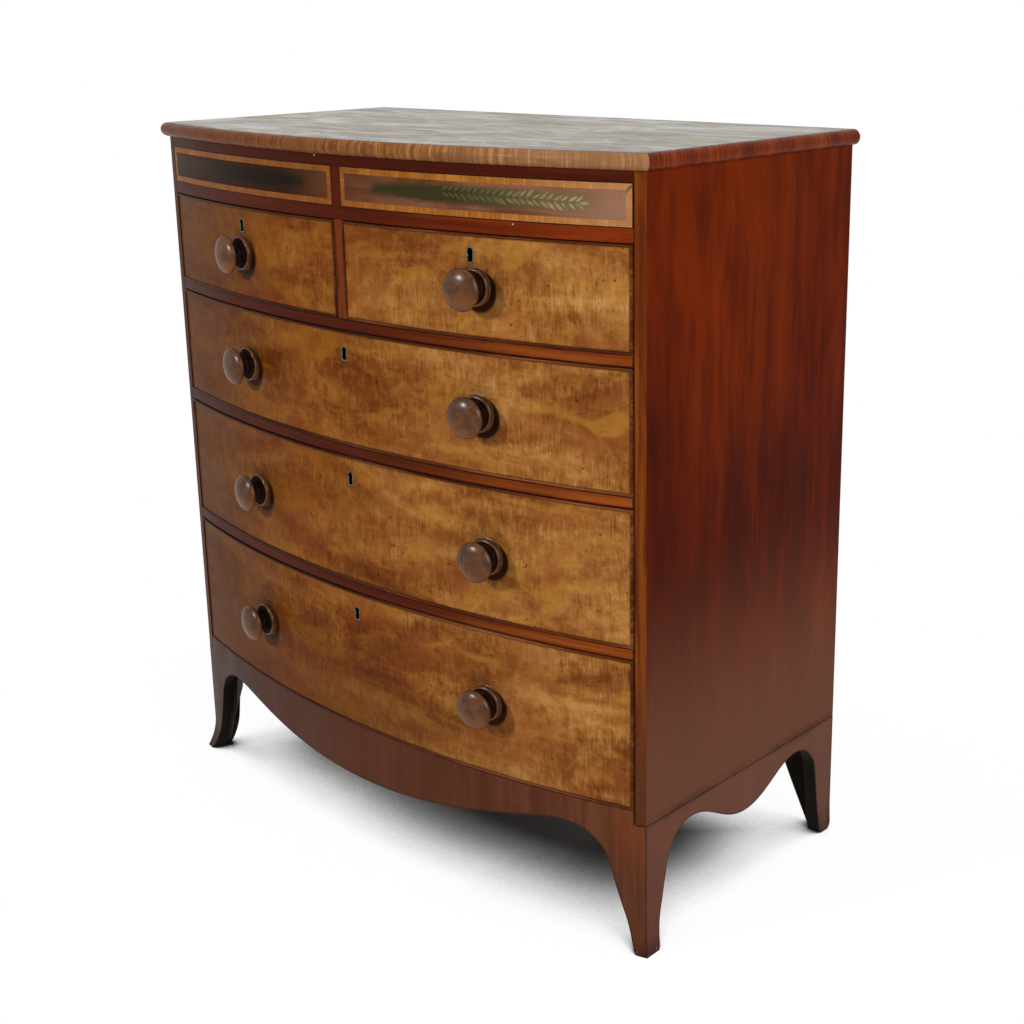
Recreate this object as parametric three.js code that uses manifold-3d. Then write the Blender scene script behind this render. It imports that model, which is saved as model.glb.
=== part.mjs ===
// A bow front chest of drawers: a mahogany case on four splayed bracket feet, with a banded
// frieze over two short drawers and three long ones.
// Millimetres. +X is to the right as one faces the drawers, +Y is to the back, +Z is up.
// The origin is on the floor, in the middle of the whole object's box.

import * as THREE from 'three';
import { mergeVertices } from 'three/addons/utils/BufferGeometryUtils.js';
import Module from 'manifold-3d';

const wasm = await Module();
wasm.setup();

// Case
const caseWidth = 940;
const caseDepth = 437;
const bowRise = 69;
const sideThickness = 16;
const backThickness = 12;
const bottomThickness = 19.7;

// Top board, with a half round edge at the front and the sides
const topThickness = 21;
const topOverhang = 11;

// Front rails and the boards behind them
const railThickness = 15.3;
const railDepth = 60;
const dustboardThickness = 10;
const dividerThickness = 17;

// Frieze
const friezeRailHeight = 17.3;
const friezePanelHeight = 53.2;
const friezePanelThickness = 16;
const topRailHeight = 13.5;

// Base
const legHeight = 183;
const apronThickness = 20;
const footThickness = 20;
const footFrontWidth = 90;
const footSideWidth = 97;
const splay = 10.5;
const backSplay = 2;
const splayHeight = 52;
const cornerBlockReach = 40;

// Drawers
const shortDrawerHeight = 131;
const upperDrawerHeight = 159;
const middleDrawerHeight = 181.5;
const lowerDrawerHeight = 206;
const frontThickness = 20;
const beadWidth = 3;
const beadProud = 1.8;
const linerThickness = 10;
const linerDrop = 4;
const drawerBackThickness = 9;
const drawerBackDrop = 12;
const drawerBottomThickness = 7;
const drawerBottomRise = 5;

// Knobs, turned in one piece with the shank that holds them in the drawer front
const knobLength = 38.5;
const knobHeadRadius = 27.2;
const knobRoseRadius = 24.8;
const knobRoseHeight = 8;
const knobNeckRadius = 12.5;
const shankRadius = 8;
const shankLength = 15;

// How far this chest's knobs stand from the middle of their halves of the front
const rightKnobShift = 6;
const middleKnobShift = 8;
const middleKnobDrop = 3;

// Keyholes and locks
const shortKeyholeDrop = 26;
const longKeyholeDrop = 31;
const keyholeHeight = 19;
const keyholeWidth = 9;
const keyholeRadius = 5;
const lockWidth = 60;
const lockHeight = 44;
const lockThickness = 11;
const lockKeyDepth = 6;

// Clearances: what a drawer runs with, and what fitted wood keeps
const runClearance = 0.3;
const headClearance = 1.4;
const sideClearance = 1;
const stopClearance = 0.5;
const fitGap = 0.3;
const overrun = 5;

// Fineness of the round stretches
const bowSegments = 12;
const curveSegments = 8;
const noseSteps = 6;
const splaySteps = 6;
const knobSides = 16;
const boreSides = 12;

// Sizes that follow from the ones above
const halfWidth = caseWidth / 2;
const halfOpening = halfWidth - sideThickness;
const bowRadius = (halfWidth ** 2 + bowRise ** 2) / (2 * bowRise);
const bowCentre = bowRadius - bowRise;
const backFace = caseDepth - backThickness;
const drawerHalfWidth = halfOpening - sideClearance;
const shortDrawerInnerEdge = dividerThickness / 2 + sideClearance;
const knobPlace = (shortDrawerInnerEdge + drawerHalfWidth) / 2;
const drawerBackEnd = backFace - stopClearance;

// Levels of the front, from the floor up. An opening takes its drawer and the clearances.
const lowerOpening = legHeight + bottomThickness;
const lowerRailLevel = lowerOpening + runClearance + lowerDrawerHeight + headClearance;
const middleOpening = lowerRailLevel + railThickness;
const middleRailLevel = middleOpening + runClearance + middleDrawerHeight + headClearance;
const upperOpening = middleRailLevel + railThickness;
const upperRailLevel = upperOpening + runClearance + upperDrawerHeight + headClearance;
const shortOpening = upperRailLevel + railThickness;
const friezeLevel = shortOpening + runClearance + shortDrawerHeight + headClearance;
const panelLevel = friezeLevel + friezeRailHeight;
const topRailLevel = panelLevel + friezePanelHeight;
const caseTop = topRailLevel + topRailHeight;

// Outlines of the arches under the case, in shares of a width and of the leg height. Each is a
// start point and then Bezier stretches of two control points and an end point.
const frontArchShares = [
  [0.984, 0],
  [0.951, 0.16], [0.914, 0.43], [0.896, 0.628],
  [0.881, 0.765], [0.834, 0.899], [0.757, 0.899],
  [0.617, 0.899], [0.404, 0.645], [0, 0.645],
  [-0.404, 0.645], [-0.617, 0.899], [-0.757, 0.899],
  [-0.834, 0.899], [-0.881, 0.765], [-0.896, 0.628],
  [-0.914, 0.43], [-0.951, 0.16], [-0.984, 0],
];
const sideArchShares = [
  [0.936, 0],
  [0.922, 0.164], [0.906, 0.464], [0.897, 0.617],
  [0.885, 0.77], [0.835, 0.865], [0.778, 0.865],
  [0.68, 0.865], [0.616, 0.642], [0.5, 0.642],
  [0.384, 0.642], [0.32, 0.869], [0.217, 0.869],
  [0.16, 0.869], [0.118, 0.77], [0.101, 0.612],
  [0.086, 0.45], [0.07, 0.22], [0.04, 0],
];
const backArchShares = [
  [0.947, 0],
  [0.91, 0.2], [0.86, 0.42], [0.808, 0.765],
  [0.4, 0.9], [0.2, 1], [0, 1],
];

// How far the corner block behind a front foot reaches at each level: shares of the leg height
// and of the block's reach
const cornerBlockShares = [[0.08, 0], [0.28, 0.36], [0.5, 1], [1, 1]];

// Knob profile: each point is a share of the radius and of the length that it belongs to.
const roseProfileShares = [[0.93, 0.06], [1, 0.3], [1, 0.68], [0.9, 1]];
const neckProfileShares = [[1.25, 0.26], [1, 0.34], [1, 0.44]];
const headProfileShares = [
  [0.6, 0.565], [0.92, 0.65], [1, 0.745], [0.95, 0.85], [0.76, 0.94], [0.36, 0.99],
];

const woodColours = {
  case: '#6b2a12',
  dark: '#4a1a0c',
  front: '#9a6534',
  top: '#6d4a33',
  foot: '#5b3626',
  panel: '#7a5138',
  knob: '#4a2a20',
  softwood: '#a98a5f',
  brass: '#8a7a4a',
};

// Helpers: solids, cuts and placing

function solidOf(geometry) {
  const bare = geometry.clone();
  bare.deleteAttribute('normal');
  bare.deleteAttribute('uv');
  const merged = mergeVertices(bare);
  const mesh = new wasm.Mesh({
    numProp: 3,
    vertProperties: Float32Array.from(merged.attributes.position.array),
    triVerts: Uint32Array.from(merged.index.array),
  });
  return new wasm.Manifold(mesh);
}

function geometryOf(solid) {
  const mesh = solid.getMesh();
  const geometry = new THREE.BufferGeometry();
  geometry.setAttribute('position', new THREE.BufferAttribute(mesh.vertProperties, 3));
  geometry.setIndex(new THREE.BufferAttribute(mesh.triVerts, 1));
  return geometry;
}

function joined(first, ...others) {
  return geometryOf(others.reduce((sum, other) => sum.add(solidOf(other)), solidOf(first)));
}

function cut(body, ...tools) {
  return geometryOf(tools.reduce((left, tool) => left.subtract(solidOf(tool)), solidOf(body)));
}

function mirrored(geometry) {
  const copy = geometry.index ? geometry.toNonIndexed() : geometry.clone();
  copy.deleteAttribute('normal');
  copy.deleteAttribute('uv');
  const position = copy.attributes.position;
  for (let i = 0; i < position.count; i += 3) {
    const corners = [0, 2, 1].map((k) => new THREE.Vector3().fromBufferAttribute(position, i + k));
    corners.forEach((corner, k) => position.setXYZ(i + k, -corner.x, corner.y, corner.z));
  }
  return copy;
}

// Extrusions of an outline in plan, seen from the front, and seen from the right side

function raised(shape, bottom, top) {
  const options = { depth: top - bottom, bevelEnabled: false, curveSegments: bowSegments };
  return new THREE.ExtrudeGeometry(shape, options).translate(0, 0, bottom);
}

function pushedBack(shape, front, back) {
  const options = { depth: back - front, bevelEnabled: false, curveSegments };
  return new THREE.ExtrudeGeometry(shape, options).rotateX(Math.PI / 2).translate(0, back, 0);
}

function pushedRight(shape, left, right) {
  const options = { depth: right - left, bevelEnabled: false, curveSegments };
  const turn = new THREE.Matrix4().makeBasis(
    new THREE.Vector3(0, 1, 0),
    new THREE.Vector3(0, 0, 1),
    new THREE.Vector3(1, 0, 0),
  );
  return new THREE.ExtrudeGeometry(shape, options).applyMatrix4(turn).translate(left, 0, 0);
}

function polygon(points) {
  return new THREE.Shape(points.map(([x, y]) => new THREE.Vector2(x, y)));
}

function rectangle(left, right, low, high) {
  return polygon([[left, low], [right, low], [right, high], [left, high]]);
}

// A closed solid through outlines of the same number of points, from the lowest to the highest

function lofted(rings) {
  const count = rings[0].length;
  const positions = rings.flat().flatMap((point) => point.toArray());
  const indices = [];
  for (let level = 0; level + 1 < rings.length; level += 1) {
    for (let i = 0; i < count; i += 1) {
      const next = (i + 1) % count;
      const a = level * count + i;
      const b = level * count + next;
      indices.push(a, b, b + count, a, b + count, a + count);
    }
  }
  const contour = rings[0].map((point) => new THREE.Vector2(point.x, point.y));
  const lastRing = (rings.length - 1) * count;
  for (const [a, b, c] of THREE.ShapeUtils.triangulateShape(contour, [])) {
    indices.push(c, b, a, lastRing + a, lastRing + b, lastRing + c);
  }
  const geometry = new THREE.BufferGeometry();
  geometry.setAttribute('position', new THREE.Float32BufferAttribute(positions, 3));
  geometry.setIndex(indices);
  return geometry;
}

// The bow: every curved face is an arc about one centre, so an inset is square to the front

function bowAngle(x, inset = 0) {
  return Math.asin(x / (bowRadius - inset)) - Math.PI / 2;
}

function bowDepth(x, inset = 0) {
  return bowCentre - Math.sqrt((bowRadius - inset) ** 2 - x ** 2);
}

function bowPoints(left, right, inset) {
  const from = bowAngle(left, inset);
  const to = bowAngle(right, inset);
  const arc = new THREE.EllipseCurve(0, bowCentre, bowRadius - inset, bowRadius - inset, from, to);
  return arc.getPoints(2 * bowSegments);
}

function bowedBoard(left, right, frontInset, backInset, bottom, top) {
  const outer = bowRadius - frontInset;
  const inner = bowRadius - backInset;
  const shape = new THREE.Shape();
  shape.absarc(0, bowCentre, outer, bowAngle(left, frontInset), bowAngle(right, frontInset), false);
  shape.absarc(0, bowCentre, inner, bowAngle(right, backInset), bowAngle(left, backInset), true);
  return raised(shape, bottom, top);
}

// A flat board whose front edge follows the bow

function bowFrontedBoard(left, right, frontInset, back, bottom, top) {
  const shape = new THREE.Shape();
  const radius = bowRadius - frontInset;
  shape.absarc(0, bowCentre, radius, bowAngle(left, frontInset), bowAngle(right, frontInset), false);
  shape.lineTo(right, back);
  shape.lineTo(left, back);
  return raised(shape, bottom, top);
}

// A board on edge that runs from the bow to a face at the back

function sideBoard(left, right, frontInset, back, bottom, top) {
  const outline = [
    [left, bowDepth(left, frontInset)],
    [right, bowDepth(right, frontInset)],
    [right, back],
    [left, back],
  ];
  return raised(polygon(outline), bottom, top);
}

// Puts something made at the origin, with +Y into the wood, on the bow at x and square to it

function onBow(geometry, x, z) {
  return geometry.rotateZ(Math.asin(x / bowRadius)).translate(x, bowDepth(x), z);
}

function mesh(name, geometry, colour, roughness = 0.45, metalness = 0) {
  const material = new THREE.MeshStandardMaterial({
    color: colour,
    roughness,
    metalness,
    flatShading: true,
  });
  const piece = new THREE.Mesh(geometry, material);
  piece.name = name;
  return piece;
}

// Case

function topBoard() {
  const nose = topThickness / 2;
  const rings = [];
  for (let step = 0; step <= noseSteps; step += 1) {
    const angle = Math.PI * (step / noseSteps - 1 / 2);
    const inset = nose * (1 - Math.cos(angle));
    const edge = halfWidth + topOverhang - inset;
    const level = caseTop + nose * (1 + Math.sin(angle));
    const front = bowPoints(-edge, edge, inset - topOverhang);
    const corners = [new THREE.Vector2(edge, caseDepth), new THREE.Vector2(-edge, caseDepth)];
    rings.push([...front, ...corners].map((point) => new THREE.Vector3(point.x, point.y, level)));
  }
  return mesh('top_board', lofted(rings), woodColours.top, 0.3);
}

function casePieces() {
  const side = sideBoard(halfOpening, halfWidth, 0, caseDepth, legHeight, caseTop);
  const back = raised(
    rectangle(-halfOpening, halfOpening, backFace, caseDepth),
    legHeight,
    caseTop,
  );
  const bottom = bowFrontedBoard(
    -halfOpening,
    halfOpening,
    apronThickness + fitGap,
    backFace,
    legHeight,
    lowerOpening,
  );
  const divider = sideBoard(
    -dividerThickness / 2,
    dividerThickness / 2,
    0,
    backFace,
    shortOpening,
    friezeLevel,
  );
  return [
    topBoard(),
    mesh('side_right', side, woodColours.case),
    mesh('side_left', mirrored(side), woodColours.case),
    mesh('back_panel', back, woodColours.softwood, 0.8),
    mesh('bottom_board', bottom, woodColours.softwood, 0.8),
    mesh('drawer_divider', divider, woodColours.dark),
  ];
}

// Each rail shows at the front, and a dustboard behind it carries the drawer above

function railPieces() {
  const rails = { upper: upperRailLevel, middle: middleRailLevel, lower: lowerRailLevel };
  return Object.entries(rails).flatMap(([place, level]) => {
    const railTop = level + railThickness;
    const rail = bowedBoard(-halfOpening, halfOpening, 0, railDepth, level, railTop);
    const dustboard = bowFrontedBoard(
      -halfOpening,
      halfOpening,
      railDepth + fitGap,
      backFace,
      railTop - dustboardThickness,
      railTop,
    );
    return [
      mesh(`rail_${place}`, rail, woodColours.dark),
      mesh(`dustboard_${place}`, dustboard, woodColours.softwood, 0.8),
    ];
  });
}

// Two rails and a short divider between them, with a banded panel let in on each side

function friezePieces() {
  const halfDivider = dividerThickness / 2;
  const lowRail = bowedBoard(-halfOpening, halfOpening, 0, railDepth, friezeLevel, panelLevel);
  const topRail = bowedBoard(-halfOpening, halfOpening, 0, railDepth, topRailLevel, caseTop);
  const divider = bowedBoard(-halfDivider, halfDivider, 0, railDepth, friezeLevel, caseTop);
  const panel = bowedBoard(
    halfDivider + fitGap,
    halfOpening - fitGap,
    0,
    friezePanelThickness,
    panelLevel + fitGap,
    topRailLevel - fitGap,
  );
  return [
    mesh('frieze_frame', joined(lowRail, topRail, divider), woodColours.dark),
    mesh('frieze_panel_right', panel, woodColours.panel),
    mesh('frieze_panel_left', mirrored(panel), woodColours.panel),
  ];
}

// Base

// The space under an arch, closed along the floor with an overrun

function archShape(shares, width) {
  const [start, ...rest] = shares.map(([across, up]) => [across * width, up * legHeight]);
  const shape = new THREE.Shape();
  shape.moveTo(start[0], -overrun);
  shape.lineTo(...start);
  for (let i = 0; i < rest.length; i += 3) {
    shape.bezierCurveTo(...rest[i], ...rest[i + 1], ...rest[i + 2]);
  }
  const end = rest[rest.length - 1];
  shape.lineTo(end[0], -overrun);
  return shape;
}

function frontArch() {
  const front = -bowRise - splay - overrun;
  return pushedBack(archShape(frontArchShares, halfWidth), front, caseDepth / 2);
}

function sideArch() {
  const reach = halfWidth + splay + overrun;
  return pushedRight(archShape(sideArchShares, caseDepth), halfWidth / 2, reach);
}

function backArch() {
  return pushedBack(archShape(backArchShares, halfWidth), caseDepth / 2, caseDepth + overrun);
}

// The outline of a foot in plan is swept up from the floor, and leans out as it nears it

function splayed(outline, sideways, forwards) {
  const levels = [];
  for (let step = 0; step <= splaySteps; step += 1) {
    levels.push((splayHeight * step) / splaySteps);
  }
  levels.push(legHeight);
  const rings = levels.map((level) => {
    const share = Math.max(0, 1 - level / splayHeight) ** 2;
    return outline.map(([x, y]) => new THREE.Vector3(
      x + sideways * share,
      y - forwards * share,
      level,
    ));
  });
  return lofted(rings);
}

// A three-sided block in the corner of a front foot, let half way into both of its faces

function cornerBlock() {
  const cornerX = halfWidth - footThickness / 2;
  const cornerY = bowDepth(halfWidth - footThickness, footThickness) - footThickness / 2;
  const rings = cornerBlockShares.map(([up, share]) => {
    const leg = footThickness + share * cornerBlockReach;
    const level = up * legHeight;
    return [
      new THREE.Vector3(cornerX, cornerY, level),
      new THREE.Vector3(cornerX, cornerY + leg, level),
      new THREE.Vector3(cornerX - leg, cornerY, level),
    ];
  });
  return lofted(rings);
}

function frontFoot() {
  const jointX = halfWidth - footFrontWidth;
  const innerX = halfWidth - footThickness;
  const outer = bowPoints(jointX, halfWidth, 0).map((point) => [point.x, point.y]);
  const inner = bowPoints(jointX, innerX, footThickness).map((point) => [point.x, point.y]);
  const outline = [
    ...outer,
    [halfWidth, footSideWidth],
    [innerX, footSideWidth],
    ...inner.reverse(),
  ];
  const bracket = cut(splayed(outline, splay, splay), sideArch());
  return cut(joined(bracket, cornerBlock()), frontArch());
}

function backFoot() {
  const jointX = halfWidth - footFrontWidth;
  const innerX = halfWidth - footThickness;
  const innerY = caseDepth - footThickness;
  const jointY = caseDepth - footSideWidth;
  const outline = [
    [innerX, jointY],
    [halfWidth, jointY],
    [halfWidth, caseDepth],
    [jointX, caseDepth],
    [jointX, innerY],
    [innerX, innerY],
  ];
  return cut(splayed(outline, backSplay, 0), sideArch(), backArch());
}

function basePieces() {
  const jointX = halfWidth - footFrontWidth;
  const apronRail = bowedBoard(
    -halfOpening,
    halfOpening,
    0,
    apronThickness,
    legHeight,
    lowerOpening,
  );
  const apronFall = bowedBoard(-jointX, jointX, 0, apronThickness, 0, legHeight);
  const apron = cut(joined(apronRail, apronFall), frontArch());
  const skirtOutline = rectangle(footSideWidth, caseDepth - footSideWidth, 0, legHeight);
  const skirt = cut(pushedRight(skirtOutline, halfOpening, halfWidth), sideArch());
  const front = frontFoot();
  const back = backFoot();
  return [
    mesh('apron', apron, woodColours.foot),
    mesh('side_skirt_right', skirt, woodColours.foot),
    mesh('side_skirt_left', mirrored(skirt), woodColours.foot),
    mesh('foot_front_right', front, woodColours.foot),
    mesh('foot_front_left', mirrored(front), woodColours.foot),
    mesh('foot_back_right', back, woodColours.foot),
    mesh('foot_back_left', mirrored(back), woodColours.foot),
  ];
}

// Drawers

function keyholeShape() {
  const centre = keyholeHeight / 2 - keyholeRadius;
  const half = keyholeWidth / 2;
  const opening = Math.asin(half / keyholeRadius);
  const shape = new THREE.Shape();
  shape.moveTo(-half, -keyholeHeight / 2);
  shape.lineTo(half, -keyholeHeight / 2);
  const from = opening - Math.PI / 2;
  shape.absarc(0, centre, keyholeRadius, from, 3 * Math.PI / 2 - opening, false);
  return shape;
}

function drawerFront(left, right, bottom, top, knobs, knobLevel, keyhole, keyholeDrop) {
  const board = bowedBoard(left, right, 0, frontThickness, bottom, top);
  const beadOuter = bowedBoard(left, right, -beadProud, beadWidth, bottom, top);
  const beadInner = bowedBoard(
    left + beadWidth,
    right - beadWidth,
    -beadProud - overrun,
    beadWidth + overrun,
    bottom + beadWidth,
    top - beadWidth,
  );
  const bore = new THREE.CylinderGeometry(
    shankRadius + fitGap,
    shankRadius + fitGap,
    shankLength + fitGap + overrun,
    boreSides,
  ).translate(0, (shankLength + fitGap - overrun) / 2, 0);
  const bores = knobs.map((x) => onBow(bore.clone(), x, knobLevel));
  const keyCut = onBow(
    pushedBack(keyholeShape(), -overrun, frontThickness + overrun),
    keyhole,
    top - keyholeDrop,
  );
  const pocketDepth = frontThickness - lockThickness - fitGap;
  const pocketSide = lockWidth / 2 + fitGap;
  const pocketShape = rectangle(-pocketSide, pocketSide, -lockHeight - fitGap, overrun);
  const pocket = onBow(
    pushedBack(pocketShape, pocketDepth, frontThickness + overrun),
    keyhole,
    top,
  );
  return cut(joined(board, cut(beadOuter, beadInner)), ...bores, keyCut, pocket);
}

// The profile goes from the end of the shank to the crown of the head

function knob() {
  const rose = roseProfileShares.map(([r, h]) => [r * knobRoseRadius, h * knobRoseHeight]);
  const neck = neckProfileShares.map(([r, h]) => [r * knobNeckRadius, h * knobLength]);
  const head = headProfileShares.map(([r, h]) => [r * knobHeadRadius, h * knobLength]);
  const profile = [
    [0, -shankLength],
    [shankRadius, -shankLength],
    [shankRadius, fitGap],
    ...rose,
    ...neck,
    ...head,
    [0, knobLength],
  ];
  const points = profile.map(([radius, height]) => new THREE.Vector2(radius, height));
  return new THREE.LatheGeometry(points, knobSides).rotateX(Math.PI);
}

// The lock's top and back are flush with the drawer front, and its face has the key's pocket

function lock(keyholeDrop) {
  const half = lockWidth / 2;
  const body = pushedBack(
    rectangle(-half, half, -lockHeight, 0),
    frontThickness - lockThickness,
    frontThickness,
  );
  const pocket = pushedBack(
    keyholeShape(),
    frontThickness - lockThickness - overrun,
    frontThickness - lockThickness + lockKeyDepth,
  ).translate(0, 0, -keyholeDrop);
  return cut(body, pocket);
}

function placedOnBow(piece, x, z) {
  piece.rotation.z = Math.asin(x / bowRadius);
  piece.position.set(x, bowDepth(x), z);
  return piece;
}

function drawer(name, { left, right, opening, height, knobs, knobDrop, keyholeDrop }) {
  const bottom = opening + runClearance;
  const top = bottom + height;
  const knobLevel = bottom + height / 2 - knobDrop;
  const knobPlaces = Object.values(knobs);
  const keyhole = (left + right) / 2;
  const innerLeft = left + linerThickness;
  const innerRight = right - linerThickness;
  const behindFront = frontThickness + fitGap;
  const linerTop = top - linerDrop;
  const floorLevel = bottom + drawerBottomRise;
  const floorTop = floorLevel + drawerBottomThickness;
  const pieces = new THREE.Group();
  pieces.add(
    mesh(
      `${name}_front`,
      drawerFront(left, right, bottom, top, knobPlaces, knobLevel, keyhole, keyholeDrop),
      woodColours.front,
    ),
    mesh(
      `${name}_side_left`,
      sideBoard(left, innerLeft, behindFront, drawerBackEnd, bottom, linerTop),
      woodColours.softwood,
      0.8,
    ),
    mesh(
      `${name}_side_right`,
      sideBoard(innerRight, right, behindFront, drawerBackEnd, bottom, linerTop),
      woodColours.softwood,
      0.8,
    ),
    mesh(
      `${name}_bottom`,
      bowFrontedBoard(innerLeft, innerRight, behindFront, drawerBackEnd, floorLevel, floorTop),
      woodColours.softwood,
      0.8,
    ),
    mesh(
      `${name}_back`,
      raised(
        rectangle(innerLeft, innerRight, drawerBackEnd - drawerBackThickness, drawerBackEnd),
        floorTop,
        top - drawerBackDrop,
      ),
      woodColours.softwood,
      0.8,
    ),
  );
  const lockPiece = mesh(`${name}_lock`, lock(keyholeDrop), woodColours.brass, 0.4, 0.9);
  pieces.add(placedOnBow(lockPiece, keyhole, top));
  for (const [knobName, x] of Object.entries(knobs)) {
    const piece = mesh(`${name}_${knobName}`, knob(), woodColours.knob, 0.3);
    pieces.add(placedOnBow(piece, x, knobLevel));
  }
  return pieces;
}

function drawers() {
  const leftKnob = -knobPlace;
  const rightKnob = knobPlace + rightKnobShift;
  const pair = { knob_left: leftKnob, knob_right: rightKnob };
  const shiftedPair = {
    knob_left: leftKnob + middleKnobShift,
    knob_right: rightKnob + middleKnobShift,
  };
  const short = {
    opening: shortOpening,
    height: shortDrawerHeight,
    knobDrop: 0,
    keyholeDrop: shortKeyholeDrop,
  };
  const long = {
    left: -drawerHalfWidth,
    right: drawerHalfWidth,
    knobs: pair,
    knobDrop: 0,
    keyholeDrop: longKeyholeDrop,
  };
  return [
    drawer('short_left', {
      ...short,
      left: -drawerHalfWidth,
      right: -shortDrawerInnerEdge,
      knobs: { knob: leftKnob },
    }),
    drawer('short_right', {
      ...short,
      left: shortDrawerInnerEdge,
      right: drawerHalfWidth,
      knobs: { knob: rightKnob },
    }),
    drawer('upper', { ...long, opening: upperOpening, height: upperDrawerHeight }),
    drawer('middle', {
      ...long,
      opening: middleOpening,
      height: middleDrawerHeight,
      knobs: shiftedPair,
      knobDrop: middleKnobDrop,
    }),
    drawer('lower', { ...long, opening: lowerOpening, height: lowerDrawerHeight }),
  ];
}

const chest = new THREE.Group();
chest.add(...casePieces(), ...railPieces(), ...friezePieces(), ...basePieces(), ...drawers());

// The origin goes to the middle of the box
const box = new THREE.Box3().setFromObject(chest, true);
chest.position.y = -(box.min.y + box.max.y) / 2;

const group = new THREE.Group();
group.add(chest);

export default group;
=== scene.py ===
import math

import bmesh
import bpy
import numpy as np
from mathutils import Matrix, Vector
from mathutils.geometry import delaunay_2d_cdt

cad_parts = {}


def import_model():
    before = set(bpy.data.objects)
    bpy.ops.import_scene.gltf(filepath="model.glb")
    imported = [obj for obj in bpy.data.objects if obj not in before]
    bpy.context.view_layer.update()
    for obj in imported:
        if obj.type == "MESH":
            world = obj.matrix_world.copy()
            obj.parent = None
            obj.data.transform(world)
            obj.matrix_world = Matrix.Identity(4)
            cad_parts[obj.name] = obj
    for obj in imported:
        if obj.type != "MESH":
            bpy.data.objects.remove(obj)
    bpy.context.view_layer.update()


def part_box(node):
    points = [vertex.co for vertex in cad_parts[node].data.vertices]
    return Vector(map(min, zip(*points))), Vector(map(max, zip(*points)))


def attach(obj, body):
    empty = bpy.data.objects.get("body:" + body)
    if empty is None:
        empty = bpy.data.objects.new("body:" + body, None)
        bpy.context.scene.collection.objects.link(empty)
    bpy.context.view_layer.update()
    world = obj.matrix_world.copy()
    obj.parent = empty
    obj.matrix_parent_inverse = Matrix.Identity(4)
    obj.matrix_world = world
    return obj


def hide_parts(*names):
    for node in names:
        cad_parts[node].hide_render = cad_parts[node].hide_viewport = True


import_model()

# A bow front chest of drawers: the looks of its wood, beads, banding, knobs and feet.
# Metres. +X is to the right as one faces the drawers, +Y is to the back, +Z is up.

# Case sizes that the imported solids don't say on their own
CASE_DEPTH = 0.437
BOW_RISE = 0.069
TOP_OVERHANG = 0.011
RAIL_DEPTH = 0.060
POST_ROUND = 0.0012
LEG_HEIGHT = 0.183
APRON_THICKNESS = 0.020
SPLAY = 0.0105
BACK_SPLAY = 0.002
SPLAY_HEIGHT = 0.052
FOOT_FRONT_WIDTH = 0.090
CORNER_BLOCK_REACH = 0.040
TOE_ROUND = 0.008
SIDE_TOE_ROUND = 0.004
BACK_TOE_ROUND = 0.009
BACK_BOARDS = 5
BOARD_GAP = 0.0008
NAIL_INSETS = (0.010, -0.014)
NAIL_RADIUS = 0.0022
NAIL_KNOTS = [
    (0.0, -0.002), (NAIL_RADIUS, -0.002), (NAIL_RADIUS, 0.0), (NAIL_RADIUS * 0.6, 0.0003),
    (0.0, 0.0004),
]

HALF_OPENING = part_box("side_right")[0].x
HALF_WIDTH, BACK, CASE_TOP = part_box("side_right")[1]
CORNER = BACK - CASE_DEPTH
BOW_RADIUS = (HALF_WIDTH ** 2 + BOW_RISE ** 2) / (2 * BOW_RISE)
BOW_CENTRE = CORNER + BOW_RADIUS - BOW_RISE

# Frieze panels: a dark line, a crossband, a field, and leaves painted on the right hand one
PANEL_DEPTH = 0.016
PANEL_GAP = 0.0003
STRING_WIDTH = 0.0010
BAND_WIDTH = 0.0078
PAINT_DEPTH = 0.0004
PAINT_PROUD = 0.0001
GREEN_LEVEL = 0.9780
SPRAY_START = 0.190
SPRAY_END = 0.382
SPRAY_RISE = 0.005
SPRAY_TIP = 0.004
SPRAY_TONE_LEAD = 0.02
LEAF_PAIRS = 21
LEAF_LENGTH = 0.0150
LEAF_SHARE = 0.27
LEAF_OFFSET = 0.001

# Drawers
FRONT_THICKNESS = 0.020
BEAD_WIDTH = 0.003
BEAD_PROUD = 0.0018
BEAD_STEPS = 7
LOCK_FACE = 0.009
LOCK_HALF = 0.0303
LOCK_HEIGHT = 0.0443
KEYHOLE_DROPS = {"short": 0.026, "long": 0.031}
KEYHOLE_HEIGHT = 0.019
KEYHOLE_WIDTH = 0.009
KEYHOLE_RADIUS = 0.005
LINING_SPAN = (-0.0006, 0.0005)
LINING_PROUD = 0.00025
LINING_DEPTH = 0.00108
RIGHT_KNOB_SHIFT = 0.006
MIDDLE_KNOB_SHIFT = 0.008

# Radius and height of the knob's outline, from the rose on the drawer front to the crown
KNOB_KNOTS = [
    (0.0, 0.0), (0.0230, 0.0), (0.0240, 0.0006), (0.0248, 0.0024), (0.0248, 0.0050),
    (0.0240, 0.0068), (0.0222, 0.0079), (0.0198, 0.0083), (0.0186, 0.0084), (0.0180, 0.0091),
    (0.0176, 0.0099), (0.0162, 0.0105), (0.0144, 0.0109), (0.0130, 0.0119), (0.0124, 0.0136),
    (0.0122, 0.0154), (0.0125, 0.0174), (0.0132, 0.0190), (0.0156, 0.0212), (0.0200, 0.0231),
    (0.0240, 0.0247), (0.0262, 0.0261), (0.0272, 0.0280), (0.0268, 0.0300), (0.0252, 0.0320),
    (0.0220, 0.0342), (0.0172, 0.0362), (0.0120, 0.0374), (0.0070, 0.0381), (0.0030, 0.0384),
    (0.0, 0.0384),
]

# Heights between which a knob is near black: painted shade in the hollow between its rose and its
# head
KNOB_HOLLOW = (0.0078, 0.0252)

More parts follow.
